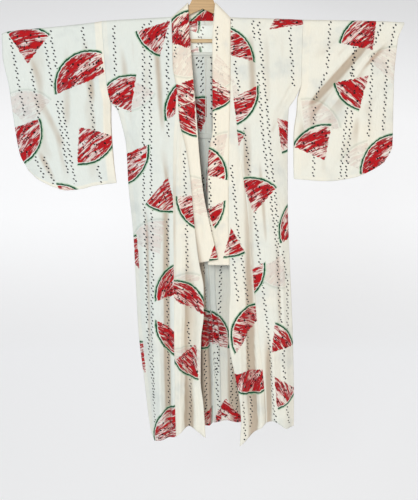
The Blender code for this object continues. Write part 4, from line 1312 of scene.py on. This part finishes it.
def dot_row_group():
    """Adds one zig-zag row of small dots to the ink that came in."""
    tree, into, out = new_group("dot row", (
        ("Cloth", "Vector"), ("Start", "Vector"), ("Way", "Vector"), ("Side", "Vector"),
        ("Length", "Float"), ("Ink", "Float")), (("Ink", "Float"),))
    off = vector_calc(tree, "SUBTRACT", into["Cloth"], into["Start"])
    along = calc(tree, "DIVIDE", vector_calc(tree, "DOT_PRODUCT", off, into["Way"]), DOT_SPACING * MM)
    aside = vector_calc(tree, "DOT_PRODUCT", off, into["Side"])
    cell = calc(tree, "FLOOR", along)
    chance = tree.nodes.new("ShaderNodeTexWhiteNoise")
    chance.noise_dimensions = "1D"
    put(chance.inputs["W"], cell)
    shift, stray = split(tree, chance.outputs["Color"])[:2]
    swing = calc(tree, "SUBTRACT", calc(tree, "MODULO", calc(tree, "ABSOLUTE", cell), 2.0), 0.5)
    swing = calc(tree, "MULTIPLY_ADD", calc(tree, "SUBTRACT", stray, 0.5), DOT_STRAY, swing)
    aside = calc(tree, "MULTIPLY_ADD", swing, DOT_SWING * 2 * MM, aside)
    middle = calc(tree, "MULTIPLY_ADD", calc(tree, "SUBTRACT", shift, 0.5), DOT_SHIFT, 0.5)
    in_cell = calc(tree, "MULTIPLY", calc(tree, "SUBTRACT", calc(tree, "SUBTRACT", along, cell), middle),
                   DOT_SPACING * MM)
    longways = calc(tree, "MULTIPLY", calc(tree, "ADD", in_cell, aside), DOT_LONG)
    crossways = calc(tree, "MULTIPLY", calc(tree, "SUBTRACT", in_cell, aside), DOT_WIDE)
    reach = vector_calc(tree, "LENGTH", join(tree, longways, crossways, 0.0))
    ink = calc(tree, "LESS_THAN", reach, DOT_RADIUS * MM)
    after_start = calc(tree, "GREATER_THAN", along, 0.0)
    before_end = calc(tree, "LESS_THAN", along, calc(tree, "DIVIDE", into["Length"], DOT_SPACING * MM))
    ink = calc(tree, "MULTIPLY", ink, calc(tree, "MULTIPLY", after_start, before_end))
    put(out["Ink"], calc(tree, "MAXIMUM", into["Ink"], ink))
    return tree


def cotton_group():
    """Plain woven cotton: cool white, ivory where doubled, painted cool grey shade in patches and painted
    tan shade in troughs; and its crumpled height.
    """
    tree, into, out = new_group("cotton", (("Cloth", "Vector"), ("Double", "Float"), ("Trough", "Float")),
                                (("Colour", "Color"), ("Height", "Float")))
    threads = vector_calc(tree, "MULTIPLY", into["Cloth"], SLUB_STRETCH)
    slub = uneven(tree, threads, SLUB_SCALE, *RICH_NOISE)
    clouds = calc(tree, "SUBTRACT", uneven(tree, into["Cloth"], CLOUD_SCALE, 2.0), 0.5)
    doubled = calc(tree, "MULTIPLY_ADD", clouds, CLOUD_SHOW, into["Double"])
    colour = blend(tree, step_up(tree, doubled, 0.0, 1.0), (*COOL_WHITE, 1.0), (*IVORY, 1.0))
    # Painted shade: soft cool grey patches at random, standing in for soft shadows on the cloth.
    shade = step_up(tree, uneven(tree, into["Cloth"], SHADE_SCALE, *RICH_NOISE), *SHADE_RANGE)
    colour = blend(tree, calc(tree, "MULTIPLY", shade, SHADE_SHOW), colour, (*COOL_SHADE, 1.0))
    # Painted shade: the cloth turns darker and tan in the troughs of its folds.
    colour = blend(tree, into["Trough"], colour, (*TROUGH_SHADE_TAN, 1.0))
    light = calc(tree, "MULTIPLY_ADD", slub, *SLUB_LIGHT)
    put(out["Colour"], vector_calc(tree, "SCALE", colour, light))
    creased = vector_calc(tree, "MULTIPLY", into["Cloth"], CRUMPLE_STRETCH)
    crumple = uneven(tree, creased, CRUMPLE_SCALE, *CRUMPLE_NOISE)
    put(out["Height"], calc(tree, "MULTIPLY_ADD", slub, SLUB_HEIGHT, crumple))
    return tree


def turn_between(first, second):
    """The turn from one flat direction to another, in radians."""
    return math.atan2(first.x * second.y - first.y * second.x, first.dot(second))


def printed_cotton(name, drawn, groups):
    """The printed cotton of one piece; drawn lists (face, slices, faint slices, rows of dots)."""
    made = bpy.data.materials.new(name)
    made.use_nodes = True
    tree = made.node_tree
    shader = tree.nodes["Principled BSDF"]
    lay = tree.nodes.new("ShaderNodeUVMap")
    lay.uv_map = "cloth"
    flat = lay.outputs["UV"]
    swirl = node(tree, "ShaderNodeTexNoise", {"Vector": flat, "Scale": PRINT_DRIFT_SCALE}, "Color")
    drift = vector_calc(tree, "SUBTRACT", swirl, (0.5, 0.5, 0.5))
    warped = vector_calc(tree, "MULTIPLY_ADD", drift, PRINT_DRIFT, flat)
    plain = use(tree, groups["cotton"], Cloth=flat,
                Double=node(tree, "ShaderNodeAttribute", {}, "Fac", attribute_name="double"),
                Trough=node(tree, "ShaderNodeAttribute", {}, "Fac", attribute_name="trough_shade"))
    place, kind, ink = NOWHERE
    for face, slices, faint, rows in drawn:
        for piece, strength in [(s, FAINT) for s in faint] + [(s, 1.0) for s in slices]:
            centre = (piece.across, piece.height)
            way = face.flat_way(piece.way)
            opening = math.radians(piece.opening)
            found = use(tree, groups["place"], Cloth=warped,
                        Centre=face.flat_place(*centre), Point=face.flat_place(*(piece.point or centre)),
                        Way=way, Side=Vector((-way.y, way.x, 0.0)),
                        Opening=(math.sin(opening), -math.cos(opening), 0.0),
                        Lean=turn_between(way, face.flat_way(piece.strokes)), Strength=strength,
                        Place=place, Kind=kind)
            place, kind = found["Place"], found["Kind"]
        for row in rows:
            start = face.flat_place(row.top_across, row.top_height)
            run = face.flat_place(row.foot_across, row.foot_height) - start
            way = run.normalized()
            ink = use(tree, groups["dots"], Cloth=warped, Start=start, Way=way,
                      Side=Vector((-way.y, way.x, 0.0)), Length=run.length, Ink=ink)["Ink"]
    colour = plain["Colour"]
    if not isinstance(place, tuple):
        painted = use(tree, groups["print"], Cloth=flat, Place=place, Kind=kind, Ground=colour)
        colour = painted["Colour"]
        if not isinstance(ink, float):
            ink = calc(tree, "MULTIPLY", ink, calc(tree, "SUBTRACT", 1.0, painted["Inside"]))
    if not isinstance(ink, float):
        colour = blend(tree, ink, colour, (*NAVY, 1.0))
    put(shader.inputs["Base Color"], colour)
    shader.inputs["Roughness"].default_value = COTTON_ROUGHNESS
    shader.inputs["Specular IOR Level"].default_value = COTTON_SHINE
    shader.inputs["Sheen Weight"].default_value = COTTON_SHEEN
    weave = node(tree, "ShaderNodeBump", {"Height": plain["Height"], "Strength": WEAVE_STRENGTH,
                                          "Distance": WEAVE_DISTANCE}, "Normal")
    put(shader.inputs["Normal"], weave)
    return made


def plain_finish(name, colour, roughness=0.5, metallic=0.0):
    """A material in one colour, to be worked up further."""
    made = bpy.data.materials.new(name)
    made.use_nodes = True
    shader = made.node_tree.nodes["Principled BSDF"]
    shader.inputs["Base Color"].default_value = (*colour, 1.0)
    shader.inputs["Roughness"].default_value = roughness
    shader.inputs["Metallic"].default_value = metallic
    return made, made.node_tree, shader


def wood_group():
    """Wood with its grain along X: colour and height."""
    tree, into, out = new_group("wood", (("Dark", "Color"), ("Light", "Color")),
                                (("Colour", "Color"), ("Roughness", "Float"), ("Height", "Float")))
    place = node(tree, "ShaderNodeTexCoord", {}, "Object")
    rings = node(tree, "ShaderNodeTexWave",
                 {"Vector": vector_calc(tree, "MULTIPLY", place, RING_STRETCH), "Scale": RING_SCALE,
                  "Distortion": RING_DISTORTION, "Detail": RING_DETAIL, "Detail Scale": RING_DETAIL_SCALE},
                 "Fac", bands_direction="Z")
    pores = uneven(tree, vector_calc(tree, "MULTIPLY", place, PORE_STRETCH), PORE_SCALE, *RICH_NOISE)
    grain = calc(tree, "MULTIPLY_ADD", pores, PORE_SHOW, calc(tree, "MULTIPLY", rings, RING_SHOW))
    put(out["Colour"], blend(tree, grain, into["Dark"], into["Light"]))
    put(out["Roughness"], calc(tree, "MULTIPLY_ADD", pores, *WOOD_ROUGHNESS))
    put(out["Height"], pores)
    return tree


def wood(name, group, dark, light, coat):
    """A wooden finish."""
    made, tree, shader = plain_finish(name, light)
    grain = use(tree, group, Dark=(*dark, 1.0), Light=(*light, 1.0))
    put(shader.inputs["Base Color"], grain["Colour"])
    put(shader.inputs["Roughness"], grain["Roughness"])
    shader.inputs["Coat Weight"].default_value = coat
    bump = node(tree, "ShaderNodeBump", {"Height": grain["Height"], "Strength": WOOD_BUMP_STRENGTH,
                                         "Distance": WOOD_BUMP_DISTANCE}, "Normal")
    put(shader.inputs["Normal"], bump)
    return made


def steel_wire():
    """Drawn steel wire."""
    made, tree, shader = plain_finish("hook wire", STEEL, metallic=1.0)
    place = node(tree, "ShaderNodeTexCoord", {}, "Object")
    scratches = uneven(tree, place, WIRE_SCALE, WIRE_DETAIL)
    put(shader.inputs["Roughness"], calc(tree, "MULTIPLY_ADD", scratches, *WIRE_ROUGHNESS))
    return made


# The whole robe.

def doubled_edges(inner=0.0, outer=0.0, start=0.0, end=0.0, all_over=0.0, seam=SEAM_WARMTH):
    """Shows cloth as doubled within some distance of its edges, measured along the sheet."""
    def values(grid):
        across = np.concatenate([np.zeros((len(grid), 1)), np.cumsum(
            np.linalg.norm(np.diff(grid, axis=1), axis=2), axis=1)], axis=1)
        down = np.concatenate([np.zeros((1, grid.shape[1])), np.cumsum(
            np.linalg.norm(np.diff(grid, axis=0), axis=2), axis=0)])
        shown = np.zeros(grid.shape[:2])
        for reach, distance in ((inner, across), (outer, across[:, -1:] - across),
                                (start, down), (end, down[-1:] - down)):
            if reach:
                shown = np.maximum(shown, np.clip((reach - distance) / SEAM_SOFTNESS + 0.5, 0.0, 1.0))
        return np.maximum(shown * seam, all_over)
    return values


def dress():
    """Make the robe's cloth."""
    groups = {"place": melon_place_group(), "print": melon_print_group(),
              "dots": dot_row_group(), "cotton": cotton_group()}
    made = {}
    for side in ("right", "left"):
        # all_over gives each body and sleeve its tone, with painted warm light on the left pieces.
        plans = (
            ("body_" + side, body_sheet(side), (side + " front", side + " back"), 0.0,
             doubled_edges(outer=SIDE_SEAM, start=HEM, end=HEM, all_over=IVORY_TONE_AND_WARM_LIGHT["body", side])),
            ("okumi_" + side, okumi_sheet(side), (side + " okumi",), 0.0,
             doubled_edges(outer=FRONT_SEAM, start=HEM, all_over=OKUMI_WARMTH)),
            ("sleeve_" + side, sleeve_sheet(side), (side + " sleeve front", side + " sleeve back"),
             SLEEVE_TILT[side], doubled_edges(inner=SLEEVE_SEAM, start=HEM, end=HEM,
                                              seam=SLEEVE_SEAM_WARMTH, all_over=IVORY_TONE_AND_WARM_LIGHT["sleeve", side])))
        for name, sheet, titles, tilt, double in plans:
            drawn = [(face, PRINT.get(title, ()), SHOW_THROUGH.get(title, ()), DOTS.get(title, ()))
                     for face, title in zip(faces_of(sheet, tilt), titles)]
            made[name] = cloth(name + "_cloth", sheet, lay_flat(sheet, tilt),
                               printed_cotton(name + " print", drawn, groups), double=double)
    collar = collar_sheet()
    flat = lay_flat(collar, band=True)
    neck = flat[len(collar[0]):len(collar[0]) + len(collar[1])]
    drawn = [(Face(collar[1], neck, ((0, 1), (1, 0))), PRINT["collar neck"], (), ()),
             (Face(collar[0], flat[:len(collar[0])], ((1, 0), (0, 1))), PRINT["right collar"],
              SHOW_THROUGH["right collar"], DOTS["right collar"]),
             (Face(collar[2], flat[-len(collar[2]):], ((-1, 0), (0, -1))), PRINT["left collar"],
              SHOW_THROUGH["left collar"], DOTS["left collar"])]
    made["collar"] = cloth("collar_cloth", collar, flat, printed_cotton("collar print", drawn, groups),
                           COLLAR_THICKNESS, double=doubled_edges(all_over=COLLAR_WARMTH))
    lining = lining_sheet()
    drawn = [(faces_of(lining)[0], PRINT["lining"], (), DOTS["lining"])]
    lining_cotton = printed_cotton("lining cotton", drawn, groups)
    # The lining's faint glow is painted light.
    lining_shader = lining_cotton.node_tree.nodes["Principled BSDF"]
    lining_shader.inputs["Emission Color"].default_value = LINING_GLOW
    lining_shader.inputs["Emission Strength"].default_value = LINING_GLOW_STRENGTH
    made["shoulder_lining"] = cloth("shoulder_lining_cloth", lining, lay_flat(lining), lining_cotton)
    strips = {}
    for name, strip in inner_strips().items():
        drawn = []
        if name in PRINTED_STRIPS:
            drawn = [(faces_of(strip)[0], PRINT["left back"], (), DOTS["left back"])]
        strips[name] = cloth(name, strip, lay_flat(strip), printed_cotton(name + " cotton", drawn, groups),
                             double=doubled_edges(all_over=STRIP_WARMTH))
        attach(strips[name], "root")
    for name, piece in made.items():
        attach(piece, "root")
        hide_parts(name)


def finish_hanger():
    """Wood and wire on the hanger's solids."""
    grain = wood_group()
    finishes = {"hanger_body": wood("hanger wood", grain, WOOD_DARK, WOOD_LIGHT, WOOD_COAT),
                "hanger_bar": wood("bar wood", grain, BAR_DARK, BAR_LIGHT, BAR_COAT),
                "hanger_hook": steel_wire()}
    for name, finish in finishes.items():
        solid = bpy.data.objects[name]
        solid.data.materials.clear()
        solid.data.materials.append(finish)


# Studio.

def studio():
    """A pale backdrop that runs from wall to floor, and soft light."""
    curve_top = FLOOR + BACKDROP_CURVE
    angles = [math.pi / 2 * share for share in shares(BACKDROP_CURVE_STEPS)]
    curve = [(WALL - BACKDROP_CURVE * (1 - math.cos(a)), curve_top - BACKDROP_CURVE * math.sin(a))
             for a in angles]
    profile = [(WALL, BACKDROP_TOP), *curve, (BACKDROP_FRONT, FLOOR)]
    points = [(x, y, z) for y, z in profile for x in (-BACKDROP_HALF, BACKDROP_HALF)]
    faces = [(2 * i, 2 * i + 1, 2 * i + 3, 2 * i + 2) for i in range(len(profile) - 1)]
    mesh = bpy.data.meshes.new("backdrop")
    mesh.from_pydata(points, [], faces)
    mesh.shade_smooth()
    backdrop = bpy.data.objects.new("backdrop", mesh)
    bpy.context.scene.collection.objects.link(backdrop)
    paper, tree, shader = plain_finish("backdrop paper", PAPER_GREY, PAPER_ROUGHNESS)
    height = split(tree, node(tree, "ShaderNodeTexCoord", {}, "Object"))[2]
    glow = node(tree, "ShaderNodeMapRange",
                {"Value": height, "From Min": PAPER_FROM, "From Max": PAPER_TO})
    put(shader.inputs["Emission Color"],
        ramp(tree, glow, [(position, (light, light, light, 1.0)) for position, light in PAPER])[0])
    shader.inputs["Emission Strength"].default_value = 1.0
    mesh.materials.append(paper)
    for name, place, target, size, power, colour in LIGHTS:
        lamp = bpy.data.lights.new(name, "AREA")
        lamp.shape = "RECTANGLE"
        lamp.size, lamp.size_y = size
        lamp.energy = power
        lamp.color = colour
        light = bpy.data.objects.new(name, lamp)
        light.location = place
        light.rotation_euler = (Vector(target) - Vector(place)).to_track_quat("-Z", "Y").to_euler()
        bpy.context.scene.collection.objects.link(light)
    world = bpy.data.worlds.new("studio air")
    world.use_nodes = True
    world.node_tree.nodes["Background"].inputs["Color"].default_value = AIR
    world.node_tree.nodes["Background"].inputs["Strength"].default_value = AIR_STRENGTH
    bpy.context.scene.world = world
    bpy.context.scene.view_settings.view_transform = "Standard"


def camera():
    """The photo's view."""
    tilt = math.radians(CAMERA_TILT)
    lens = bpy.data.cameras.new("camera")
    lens.sensor_fit = "VERTICAL"
    lens.sensor_height = CAMERA_FILM
    lens.lens = CAMERA_LENS
    eye = bpy.data.objects.new("camera", lens)
    eye.location = (CAMERA_ACROSS, -CAMERA_DISTANCE * math.cos(tilt),
                    CAMERA_AIMS_AT + CAMERA_DISTANCE * math.sin(tilt))
    eye.rotation_euler = (math.pi / 2 - tilt, 0.0, 0.0)
    bpy.context.scene.collection.objects.link(eye)
    bpy.context.scene.camera = eye


dress()
finish_hanger()
studio()
camera()
